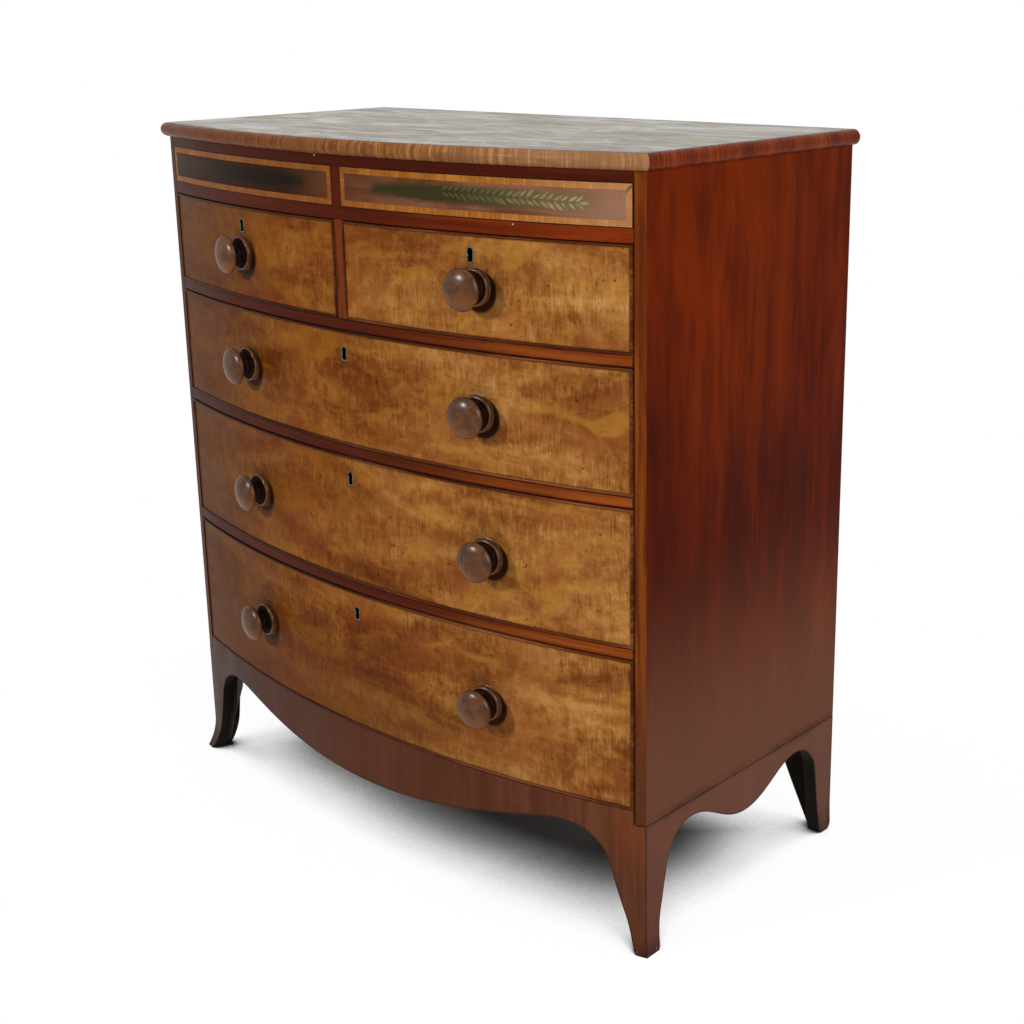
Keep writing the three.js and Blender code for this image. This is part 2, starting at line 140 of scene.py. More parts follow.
# Outlines of the arches, in shares of a width and of the leg height: a start point, then
# Bezier stretches of two control points and an end point
FRONT_ARCH_SHARES = [
    (0.984, 0),
    (0.951, 0.16), (0.914, 0.43), (0.896, 0.628),
    (0.881, 0.765), (0.834, 0.899), (0.757, 0.899),
    (0.617, 0.899), (0.404, 0.645), (0, 0.645),
    (-0.404, 0.645), (-0.617, 0.899), (-0.757, 0.899),
    (-0.834, 0.899), (-0.881, 0.765), (-0.896, 0.628),
    (-0.914, 0.43), (-0.951, 0.16), (-0.984, 0),
]
SIDE_ARCH_SHARES = [
    (0.936, 0),
    (0.922, 0.164), (0.906, 0.464), (0.897, 0.617),
    (0.885, 0.77), (0.835, 0.865), (0.778, 0.865),
    (0.68, 0.865), (0.616, 0.642), (0.5, 0.642),
    (0.384, 0.642), (0.32, 0.869), (0.217, 0.869),
    (0.16, 0.869), (0.118, 0.77), (0.101, 0.612),
    (0.086, 0.45), (0.07, 0.22), (0.04, 0),
]
BACK_ARCH_SHARES = [(0.947, 0), (0.91, 0.2), (0.86, 0.42), (0.808, 0.765)]

# The corner block behind a front foot: shares of the leg height and of its reach
CORNER_BLOCK_SHARES = [(0.08, 0), (0.28, 0.28), (0.5, 0.7), (1, 1)]

# How finely surfaces are divided: along and across
BOW_STEP = 0.010
CURVE_STEP = 0.006
BRACKET_STEP = 0.012
POST_STEP = 0.25
PLATE_STEPS = (BOW_STEP, 0.040)
FRONT_STEPS = (BOW_STEP, 0.03)
APRON_STEPS = (BOW_STEP, 0.016)
SKIRT_STEPS = (0.016, 0.016)
SMALL_STEPS = (0.02, 0.02)
TOP_STEPS = (0.05, 0.05)
POST_STEPS = (POST_STEP, POST_STEP)
BOARD_STEPS = (0.5, 1.0)
TOP_BOW_STEPS = 100
TOP_SIDE_STEPS = 12
NOSE_STEPS = 12

# How far edges are eased, and the narrow rim of faces beside them
ARRIS = 0.0007
POST_ARRIS = 0.0004
LEAF_ARRIS = 0.0004
CORE_ARRIS = 0.0003
PANEL_ARRIS = 0.0002
PAINT_ARRIS = 0.00002
BOARD_ARRIS = 0.0012
ARRIS_ANGLES = [math.radians(angle) for angle in (0, 30, 60, 90)]
SHARP_ANGLE = math.radians(40)
RIM = 0.006
FACE_RIM = 0.005
RAIL_RIM = 0.004
CLOSE = 1e-5

# Wood coordinates: which of across, up and deep comes first, and how far a seed shifts them
GRAIN_ORDERS = {"u": (0, 1, 2), "v": (1, 0, 2), "d": (2, 0, 1)}
SEED_SHIFT = np.array([0.83, 0.37, 0.11])

# How far tones lie from the edges of the case
UNDER_TOP_DROPS = (0.020, 0.013)
SIDE_GLOW_DEPTH = 0.17
SIDE_SHADE_DEPTH = 0.24
SIDE_DARK_REACH = 0.20
SIDE_EDGE_INSETS = (0.0012, 0.0004)
STILE_LINE_REACHES = (0.0024, 0.0008)
SEAM_RISE = 0.002

# Washes of tone: the axis, where a wash begins and is full, its share there, its tone
UNDER_TOP_SPAN = tuple(CASE_TOP - drop for drop in UNDER_TOP_DROPS)
WASHES = {
    # Nose and band: paler near the right end as painted light, darker towards the left as painted
    # shade
    "nose": [("x", 0.10, 0.40, 0.4, "#a67a5a"), ("x", 0.34, -0.40, 0.84, "#542408")],
    "band": [("x", 0.26, 0.44, 0.5, "#b4845a"), ("x", 0.24, -0.10, 0.62, "#6a3410")],
    # Bead and stile: darker towards the left as painted shade; the stile is also browner low down
    "bead": [("x", 0.30, -0.15, 0.8, "#220d06")],
    "stile": [("x", 0.20, -0.20, 0.8, "#341c12"), ("z", 0.46, 0.19, 0.95, "#55301e")],
    # Rail: darker from the right end leftwards as painted shade, and greyer at the far left as a
    # painted reflection
    "rail": [("x", 0.40, 0.05, 0.85, "#3c1208"), ("x", -0.20, -0.45, 0.6, "#3a2620")],
    # Painted shade just under the top's overhang
    "shade_under_top": [("z", *UNDER_TOP_SPAN, 0.8, "#300f0b")],
    "side": [("z", 0.56, 0.20, 0.85, "#724a38")],
    # Base: darker and greyer towards the left, as painted shade and a painted reflection
    "base": [("x", 0.42, 0.10, 0.65, "#4c2312"), ("x", -0.02, -0.42, 0.75, "#35261e")],
    # Painted shade just above the floor
    "toe": [("z", 0.022, 0.004, 0.5, "#1c1410")],
    # Field: paler at the right end as painted light, darker towards the left as painted shade
    "field": [
        ("x", 0.30, 0.44, 0.7, "#966e58"),
        ("x", 0.12, 0.02, 0.6, "#4c2414"),
        ("x", 0.05, -0.10, 0.6, "#5c3c20"),
    ],
    "field_shade": [("x", 0.02, -0.12, 1.0, "#7c6438")],
    # Drawer fronts: darker towards the left, as painted shade
    "front": [("x", -0.06, -0.44, 0.72, "#4a2a14")],
    "front_shade": [("x", 0.34, -0.12, 1.0, "#ceb88e")],
}

# Where the drawer fronts are darker or paler: x, z and a shift of the figure
CLOUD_REACH = (0.12, 0.2, 0.08)
VENEER_CLOUDS = [
    (0.40, 0.715, -0.10),
    (0.25, 0.745, 0.03),
    (0.05, 0.325, -0.10),
    (0.14, 0.880, -0.06),
    (0.40, 0.548, 0.05),
    (0.07, 0.545, 0.03),
    (0.39, 0.886, 0.03),
]

# A stain round the knobs, then a painted shadow of each knob's head below and to its right: reach,
# shift to the right and up, core, share and tone
KNOB_STAIN_AND_SHADOW = [
    (0.046, (0.0, 0.003), 0.2, 0.3, "#2c1208"),
    (0.0295, (0.006, -0.005), 0.85, 0.94, "#100705"),
]

# Other places in the materials
CHIPS = [(-0.041, 1.0146), (-0.302, 0.923), (0.296, 0.947)]
CHIP_REACH = (0.0016, 0.02, 0.0012)
SIDE_GLOW = ((HALF_WIDTH, CORNER + SIDE_GLOW_DEPTH, 0.88), (0.6, 0.28, 0.42))
SIDE_SHADE = ((HALF_WIDTH, CORNER + SIDE_SHADE_DEPTH, 0.54), (0.6, 0.30, 0.22))
SIDE_DARK_SPAN = (0.94, 0.68)
SEAM_LEVEL = LEG_HEIGHT + SEAM_RISE
SEAM_SPAN = (0.013, 0.001)
SEAM_DRIFT = 0.014
LOW_FRONT_SPANS = ((0.36, 0.22), (0.36, -0.05))
RED_FOOT_SPANS = ((0.40, 0.45), (0.10, 0.18))
SCUFF_SPAN = (0.014, 0.002)
SIDE_EDGE_SPAN = tuple(HALF_WIDTH - amount for amount in SIDE_EDGE_INSETS)
STILE_LINE_SPAN = tuple(HALF_OPENING + reach for reach in STILE_LINE_REACHES)
NOSE_LINE_SPAN = (0.0125, 0.0150)
GREEN_EDGE_SPAN = (0.0145, 0.0060)
GREEN_TAPER_SPAN = (0.17, 0.07)
GREEN_TAPER = 0.004
GREEN_RAGGED = (0.010, 0.03)
GREEN_END_SPANS = ((0.43, 0.37), (-0.02, -0.06), (0.060, 0.080))
GREEN_PALE_SPAN = (0.08, 0.40)
# Heights over which a knob's lower half takes on a painted reflection of the wood below
LOW_REFLECTION_SPAN = (0.004, -0.018)
BUMP_DEPTH = 0.0004

# Camera: place, degrees turned to the left, lowered and rolled, lens and shift
CAMERA_BEFORE_CORNER = 1.4081
CAMERA_PLACE = (1.6215, CORNER - CAMERA_BEFORE_CORNER, 1.1957)
CAMERA_ANGLES = (41.96, 15.46, -0.68)
CAMERA_SENSOR = 36
CAMERA_LENS = 55.33
CAMERA_SHIFT = (-0.0618, -0.0654)

# Lamps: place, the point that they aim at, size and power
LAMPS = {
    "key_light": ((-0.9, -3.0, 1.95), (0, 0, 0.5), 0.38, 64),
    "right_light": ((3.2, -1.2, 1.9), (0, 0, 0.5), 2.2, 72),
    "overhead_light": ((0.0, 0.3, 4.2), (0, 0, 0), 2.4, 62),
}
AMBIENT = 0.05
WHITE = (1.0, 1.0, 1.0, 1.0)

# Floor: its own colour, the colour on which lamps cast their shadows, and the shadow under
# the chest, which counts the distance from the back and the sides a little more
FLOOR_RADIUS = 9
FLOOR_GREY = (0.8, 0.8, 0.8, 1.0)
FLOOR_WHITE = (1.45, 1.45, 1.45, 1.0)
FLOOR_FADE = (0.10, 0.50)
LAMP_SHADOW = 0.04
SHADOW_REACH = 0.28
SHADOW_SPAN = (0.32, 0.61)
UNDER_SPAN = (0.07, 0.20)
UNDER_SIDE_WEIGHT = 1.15
UNDER_DARKEST = 0.06


# Outlines in a plane, as arrays of points that run anticlockwise

def rectangle(left, right, low, high):
    return np.array([(left, low), (right, low), (right, high), (left, high)], float)


def divided(loop, step=BOW_STEP):
    """The same outline with points at most a step apart."""
    points = []
    for start, end in zip(loop, np.roll(loop, -1, axis=0)):
        count = max(1, math.ceil(np.linalg.norm(end - start) / step))
        shares = np.arange(count)[:, None] / count
        points.append(start + (end - start) * shares)
    return np.concatenate(points)


def inset(loop, amount):
    """The outline moved inwards, where every point has an amount of its own."""
    before = loop - np.roll(loop, 1, axis=0)
    after = np.roll(loop, -1, axis=0) - loop
    before /= np.linalg.norm(before, axis=1)[:, None]
    after /= np.linalg.norm(after, axis=1)[:, None]
    inward = np.stack([-before[:, 1] - after[:, 1], before[:, 0] + after[:, 0]], axis=1)
    stretch = np.maximum(1 + np.sum(before * after, axis=1), 0.2)
    return loop + np.broadcast_to(amount, len(loop))[:, None] * inward / stretch[:, None]


def bezier(shares, width, height):
    """Points along a chain of Bezier stretches."""
    nodes = np.array(shares, float) * (width, height)
    points = [nodes[0]]
    for i in range(1, len(nodes), 3):
        start, a, b, end = nodes[i - 1:i + 3]
        count = max(2, math.ceil(np.linalg.norm(end - start) / CURVE_STEP))
        for t in np.arange(1, count + 1) / count:
            points.append(
                (1 - t) ** 3 * start
                + 3 * (1 - t) ** 2 * t * a
                + 3 * (1 - t) * t ** 2 * b
                + t ** 3 * end
            )
    return np.array(points)


def bend(start, corner, end, count):
    """Points along a curve from start to end, which heads for the corner between them."""
    t = np.arange(count + 1)[:, None] / count
    return (1 - t) ** 2 * start + 2 * (1 - t) * t * corner + t ** 2 * end


def smooth_curve(knots, count):
    """Points along a smooth line through the knots, with so many to each stretch."""
    knots = np.array(knots, float)
    ends = np.concatenate([[2 * knots[0] - knots[1]], knots, [2 * knots[-1] - knots[-2]]])
    points = []
    for p0, p1, p2, p3 in zip(ends, ends[1:], ends[2:], ends[3:]):
        for t in np.arange(count) / count:
            points.append(0.5 * (
                2 * p1
                + (p2 - p0) * t
                + (2 * p0 - 5 * p1 + 4 * p2 - p3) * t ** 2
                + (3 * p1 - p0 - 3 * p2 + p3) * t ** 3
            ))
    points.append(knots[-1])
    return np.array(points)


def inside(points, loops):
    """Which points lie within the outlines, holes left out."""
    hits = np.zeros(len(points), int)
    for loop in loops:
        for (x0, y0), (x1, y1) in zip(loop, np.roll(loop, -1, axis=0)):
            if y0 == y1:
                continue
            between = (points[:, 1] >= min(y0, y1)) & (points[:, 1] < max(y0, y1))
            crossing = x0 + (points[:, 1] - y0) * (x1 - x0) / (y1 - y0)
            hits += between & (points[:, 0] < crossing)
    return hits % 2 == 1


def filled(loops, steps, rim=0):
    """Triangles that fill the outlines: the added inner points, and the triangles."""
    border = np.concatenate(loops)
    low = border.min(axis=0)
    high = border.max(axis=0)
    counts = np.maximum(np.ceil((high - low) / steps).astype(int), 1)
    grid = np.stack(np.meshgrid(
        np.linspace(low[0], high[0], counts[0] + 1)[1:-1],
        np.linspace(low[1], high[1], counts[1] + 1)[1:-1],
    ), axis=-1).reshape(-1, 2)
    rings = [inset(loop, rim) for loop in loops] if rim else []
    extra = np.concatenate([*rings, grid]) if rings or len(grid) else np.zeros((0, 2))
    if len(extra):
        extra = extra[inside(extra, loops)]
    if len(extra):
        gaps = np.linalg.norm(extra[:, None] - border[None], axis=2).min(axis=1)
        extra = extra[gaps > (0.7 * rim if rim else 0.3 * min(steps))]
    points = np.concatenate([border, extra])
    edges = []
    start = 0
    for loop in loops:
        ids = np.arange(start, start + len(loop))
        edges += list(zip(ids.tolist(), np.roll(ids, -1).tolist()))
        start += len(loop)
    vertices = [Vector(point) for point in points]
    made = delaunay_2d_cdt(vertices, edges, [], 0, 1e-7)
    source = [ids[0] for ids in made[3]]
    triangles = np.array([[source[i] for i in face] for face in made[2]])
    keep = inside(points[triangles].mean(axis=1), loops)
    return extra, triangles[keep]


# Surfaces. Each corner of a face has a wood coordinate, with the grain along the first axis.
# Each point has its wear, which is 1 along edges.

class Surface:
    def __init__(self):
        self.points = []
        self.wear = []
        self.faces = []
        self.grain = []
        self.slots = []

    def add_points(self, points, wear=0.0):
        start = len(self.points)
        self.points += [tuple(point) for point in np.asarray(points, float)]
        self.wear += list(np.broadcast_to(wear, len(self.points) - start))
        return start

    def add_faces(self, faces, grain, slot=0):
        """grain gives a wood coordinate for each point number in the faces."""
        for face in faces:
            ids = [int(i) for i in face]
            self.faces.append(ids)
            self.grain += [tuple(grain[i]) for i in ids]
            self.slots.append(slot)

    def add_bands(self, rings, count, grain, slot=0):
        """Four sided faces between each ring of points and the next."""
        faces = []
        for low, high in zip(rings, rings[1:]):
            for i in range(count):
                j = (i + 1) % count
                faces.append((low + i, low + j, high + j, high + i))
        self.add_faces(faces, grain, slot)


class Shares(dict):
    """A wood coordinate for each point number."""

    def note(self, start, values):
        for i, value in enumerate(values):
            self[start + i] = tuple(value)


def lay(surface, grain, points, level, place, along, seed, wear):
    """Points of a board at one depth. Each seed is another stretch of wood."""
    u, v = points.T
    d = level * np.ones(len(points))
    start = surface.add_points(np.stack(place(u, v, d), axis=1), wear)
    axes = np.stack([u, v, d], axis=1)[:, GRAIN_ORDERS[along]]
    grain.note(start, axes + SEED_SHIFT * seed)
    return start


def add_plate(
    surface, loops, place, depth, arris=ARRIS, steps=PLATE_STEPS, along="u", seed=0, slot=0,
    hidden_slot=None, rim=RIM, eased=lambda loop: np.ones(len(loop)),
):
    """A board with eased edges. loops are its outline and holes, seen from its face, and
    place(u, v, d) gives the point at depth d behind the face. The grain runs along one of the
    three. The hidden slot is for its edges and its back."""
    hidden_slot = slot if hidden_slot is None else hidden_slot
    grain = Shares()
    profile = [(arris * (1 - math.sin(a)), arris * (1 - math.cos(a))) for a in ARRIS_ANGLES]
    profile += [(0, depth - arris), (arris, depth)]
    rings = []
    for loop in loops:
        starts = [
            lay(surface, grain, inset(loop, amount * eased(loop)), level, place, along, seed, 1.0)
            for amount, level in profile
        ]
        surface.add_bands(starts[:len(ARRIS_ANGLES)], len(loop), grain, slot)
        surface.add_bands(starts[len(ARRIS_ANGLES) - 1:], len(loop), grain, hidden_slot)
        rings.append(starts)
    outlines = [inset(loop, arris * eased(loop)) for loop in loops]
    for ring, level, gap, finish in ((0, 0.0, rim, slot), (-1, depth, 0, hidden_slot)):
        extra, triangles = filled(outlines, steps, gap)
        ids = [starts[ring] + np.arange(len(loop)) for starts, loop in zip(rings, loops)]
        if len(extra):
            start = lay(surface, grain, extra, level, place, along, seed, 0.0)
            ids.append(start + np.arange(len(extra)))
        surface.add_faces(np.concatenate(ids)[triangles], grain, finish)


def add_frame(surface, loop, profile, place, seed=0):
    """A moulding around an outline. The profile closes on itself: each of its points is an
    inset from the outline and a depth behind the face."""
    grain = Shares()
    starts = [
        lay(surface, grain, inset(loop, amount), level, place, "u", seed, 1.0)
        for amount, level in profile
    ]
    surface.add_bands([*starts, starts[0]], len(loop), grain)


def add_turning(surface, knots, place, sides, count, seed=0, hollow=None):
    """A turned shape. The knots give radius and height, and place(x, y, h) its points. The
    hollow is a span of heights whose faces are in slot 1."""
    profile = smooth_curve(knots, count)
    turns = 2 * math.pi * np.arange(sides) / sides
    grain = Shares()
    starts = []
    for radius, height in profile[1:-1]:
        x = radius * np.cos(turns)
        y = radius * np.sin(turns)
        h = height * np.ones(sides)
        start = surface.add_points(np.stack(place(x, y, h), axis=1))
        grain.note(start, np.stack([h + seed, x, y], axis=1))
        starts.append(start)
    for low, high, (radius, height) in zip(starts, starts[1:], profile[1:]):
        within = hollow and hollow[0] < height < hollow[1]
        surface.add_bands([low, high], sides, grain, 1 if within else 0)
    for (radius, height), start in ((profile[0], starts[0]), (profile[-1], starts[-1])):
        centre = surface.add_points(np.stack(place(*np.array([[0.0], [0.0], [height]])), axis=1))
        grain.note(centre, [(height + seed, 0, 0)])
        fan = [(start + i, start + (i + 1) % sides, centre) for i in range(sides)]
        surface.add_faces(fan, grain)


def piece(name, surface, materials, body, replaces=()):
    """The object that a surface makes, riding on a body."""
    mesh = bpy.data.meshes.new(name)
    mesh.from_pydata(surface.points, [], surface.faces)
    grain = mesh.attributes.new("grain", "FLOAT_VECTOR", "CORNER")
    grain.data.foreach_set("vector", np.array(surface.grain, np.float32).ravel())
    wear = mesh.attributes.new("wear", "FLOAT", "POINT")
    wear.data.foreach_set("value", np.array(surface.wear, np.float32))
    mesh.polygons.foreach_set("material_index", surface.slots)
    for material in materials:
        mesh.materials.append(material)
    shaped = bmesh.new()
    shaped.from_mesh(mesh)
    bmesh.ops.recalc_face_normals(shaped, faces=shaped.faces)
    shaped.to_mesh(mesh)
    shaped.free()
    mesh.shade_smooth()
    mesh.set_sharp_from_angle(angle=SHARP_ANGLE)
    made = bpy.data.objects.new(name, mesh)
    bpy.context.scene.collection.objects.link(made)
    weighting = made.modifiers.new("weighting", "WEIGHTED_NORMAL")
    weighting.keep_sharp = True
    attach(made, body)
    if replaces:
        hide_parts(*replaces)


# Where a plate's face, outline and depth lie

def bow_y(x, depth=0.0):
    return BOW_CENTRE - math.sqrt((BOW_RADIUS - depth) ** 2 - x ** 2)


def on_bow(u, v, d):
    return u, BOW_CENTRE - np.sqrt((BOW_RADIUS - d) ** 2 - u ** 2), v


def on_bow_paint(u, v, d):
    return on_bow(u, v, d - PAINT_PROUD)


def splay_at(v, most=SPLAY):
    return most * np.clip(1 - v / SPLAY_HEIGHT, 0, 1) ** 2


def on_front_base(u, v, d):
    """The bow, with feet that lean out near the floor and a mitre at each corner."""
    lean = splay_at(v)
    side = np.sign(u)
    across = np.abs(u) - lean
    mitre = np.clip((across - HALF_WIDTH + 2 * APRON_THICKNESS) / (2 * APRON_THICKNESS), 0, 1)
    x = side * (across - d * mitre)
    y = BOW_CENTRE - np.sqrt((BOW_RADIUS - d) ** 2 - x ** 2) - lean
    return x + side * lean, y, v


def on_side_base(side):
    """A side of the base, where u runs from the front corner to the back."""
    def place(u, v, d):
        lean = splay_at(v, np.where(u < CASE_DEPTH / 2, SPLAY, BACK_SPLAY))
        front = np.clip(1 - (u + lean) / (2 * APRON_THICKNESS), 0, 1)
        return side * (HALF_WIDTH + lean - d), CORNER + u + d * front, v
    return place


# Shader nodes

def linear(code):
    """A colour written as on a screen, as the shader takes it."""
    values = [int(code[i:i + 2], 16) / 255 for i in (1, 3, 5)]
    steps = [v / 12.92 if v <= 0.04045 else ((v + 0.055) / 1.055) ** 2.4 for v in values]
    return (*steps, 1.0)


class Graph:
    def __init__(self, tree):
        self.tree = tree

    def feed(self, socket, value):
        if isinstance(value, bpy.types.NodeSocket):
            self.tree.links.new(value, socket)
        else:
            socket.default_value = value

    def node(self, kind, inputs=(), **settings):
        made = self.tree.nodes.new("ShaderNode" + kind)
        for key, value in settings.items():
            setattr(made, key, value)
        for key, value in dict(inputs).items():
            self.feed(made.inputs[key], value)
        return made

    def math(self, operation, *values):
        return self.node("Math", dict(enumerate(values)), operation=operation).outputs[0]

    def sight(self):
        """1 for what the camera sees, straight or by a mirror or glass, 0 for stray light."""
        path = self.node("LightPath").outputs
        rays = self.math("MAXIMUM", path["Is Camera Ray"], path["Is Glossy Ray"])
        return self.math("MAXIMUM", rays, path["Is Transmission Ray"])


class Finish(Graph):
    """A material. Vectors are in metres, with the grain along the first axis."""

    def __init__(self, name):
        self.material = bpy.data.materials.new(name)
        self.material.use_nodes = True
        super().__init__(self.material.node_tree)
        self.shader = self.tree.nodes["Principled BSDF"]

    def grain(self):
        return self.node("Attribute", attribute_name="grain").outputs["Vector"]

    def wear(self):
        return self.node("Attribute", attribute_name="wear").outputs["Fac"]

    def place(self):
        return self.node("TexCoord").outputs["Object"]

    def axes(self, vector):
        return tuple(self.node("SeparateXYZ", {0: vector}).outputs)

    def scaled(self, vector, scales, shift=(0, 0, 0)):
        inputs = {0: vector, 1: scales, 2: shift}
        return self.node("VectorMath", inputs, operation="MULTIPLY_ADD").outputs[0]

    def turned(self, vector, angle, scales):
        inputs = {"Vector": vector, "Rotation": (0, 0, math.radians(angle)), "Scale": scales}
        return self.node("Mapping", inputs).outputs[0]

    def noise(self, vector, scales, detail, roughness, distortion=0.0, shift=(0, 0, 0)):
        inputs = {
            "Vector": self.scaled(vector, scales, shift),
            "Scale": 1.0,
            "Detail": detail,
            "Roughness": roughness,
            "Distortion": distortion,
        }
        return self.node("TexNoise", inputs).outputs["Fac"]

    def times(self, first, second):
        return self.math("MULTIPLY", first, second)

    def about_zero(self, value):
        return self.math("SUBTRACT", value, 0.5)

    def size(self, value):
        return self.math("ABSOLUTE", value)

    def total(self, *parts):
        """The sum of values, each times its weight."""
        made = self.times(*parts[-1])
        for value, weight in reversed(parts[:-1]):
            made = self.math("MULTIPLY_ADD", value, weight, made)
        return made

    def span(self, value, low, high, to_low=0.0, to_high=1.0):
        inputs = dict(enumerate((value, low, high, to_low, to_high)))
        return self.node("MapRange", inputs, interpolation_type="SMOOTHSTEP").outputs[0]

    def length(self, vector):
        return self.node("VectorMath", {0: vector}, operation="LENGTH").outputs["Value"]

    def patch(self, centre, reach, core=0.2):
        """1 within a core about a place on the object, fading to 0 at the reach."""
        inverse = tuple(1 / r for r in reach)
        shift = tuple(-c / r for c, r in zip(centre, reach))
        return self.span(self.length(self.scaled(self.place(), inverse, shift)), 1.0, core)

    def ramp(self, value, tones):
        """Tones by their places from 0 to 1, or without places where they lie evenly."""
        if isinstance(tones[0], str):
            tones = [(i / (len(tones) - 1), tone) for i, tone in enumerate(tones)]
        made = self.node("ValToRGB", {0: value})
        elements = made.color_ramp.elements
        while len(elements) < len(tones):
            elements.new(1.0)
        for element, (position, code) in zip(elements, tones):
            element.position = position
            element.color = linear(code)
        return made.outputs["Color"]

    def mix(self, share, first, second, blend="MIX"):
        first, second = (linear(c) if isinstance(c, str) else c for c in (first, second))
        inputs = {0: share, 6: first, 7: second}
        return self.node("Mix", inputs, data_type="RGBA", blend_type=blend).outputs[2]

    def washed(self, colour, name, blend="MIX"):
        axes = dict(zip("xyz", self.axes(self.place())))
        for axis, start, full, share, tone in WASHES[name]:
            wash = self.span(axes[axis], start, full, 0.0, share)
            colour = self.mix(wash, colour, tone, blend)
        return colour

    def finish(self, colour, roughness, bump, strength, **settings):
        self.feed(self.shader.inputs["Base Color"], colour)
        self.feed(self.shader.inputs["Roughness"], roughness)
        inputs = {"Height": bump, "Strength": strength, "Distance": BUMP_DEPTH}
        self.feed(self.shader.inputs["Normal"], self.node("Bump", inputs).outputs[0])
        for key, value in settings.items():
            socket = key.replace("_", " ").title().replace("Ior", "IOR")
            self.shader.inputs[socket].default_value = value
        return self.material


# Materials. Tones run from the dark of the grain to the light. Polish is how much of a mirror
# a wood is.

def wood(
    name, tones, clouds=(3, 14), streaks=(5, 170), contrast=(0.34, 0.66), roughness=(0.28, 0.42),
    polish=0.03, tint=(1.0, 0.62, 0.42, 1.0), edge_tone=None, washes=(), tweak=None,
):
    f = Finish(name)
    grain = f.grain()
    cloud = f.noise(grain, (clouds[0], clouds[1], clouds[1]), 4, 0.55, 0.8)
    streak = f.noise(grain, (streaks[0], streaks[1], streaks[1]), 5, 0.6, 0.2, (3, 7, 1))
    figure = f.total((streak, 0.5), (cloud, 0.5))
    colour = f.ramp(f.span(figure, *contrast), tones)
    for wash in washes:
        colour = f.washed(colour, wash)
    if tweak:
        colour = tweak(f, colour)
    pore = f.noise(grain, (70, 1100, 1100), 2, 0.5, 0.0, (11, 2, 5))
    pore_mask = f.times(f.span(pore, 0.60, 0.72), 0.4)
    colour = f.mix(pore_mask, colour, "#1c0a04")
    if edge_tone:
        edge = f.span(f.wear(), 0.55, 0.95)
        rub = f.span(f.noise(grain, (30, 60, 60), 3, 0.6), 0.3, 0.6, 0.95, 0.6)
        colour = f.mix(f.times(edge, rub), colour, edge_tone)
    shine = f.noise(grain, (9, 22, 22), 4, 0.6, 0.0, (5, 5, 5))
    rough = f.span(shine, 0.3, 0.7, *roughness)
    bump = f.math("SUBTRACT", f.times(streak, 0.5), pore_mask)
    return f.finish(colour, rough, bump, 0.12, specular_ior_level=polish, specular_tint=tint)


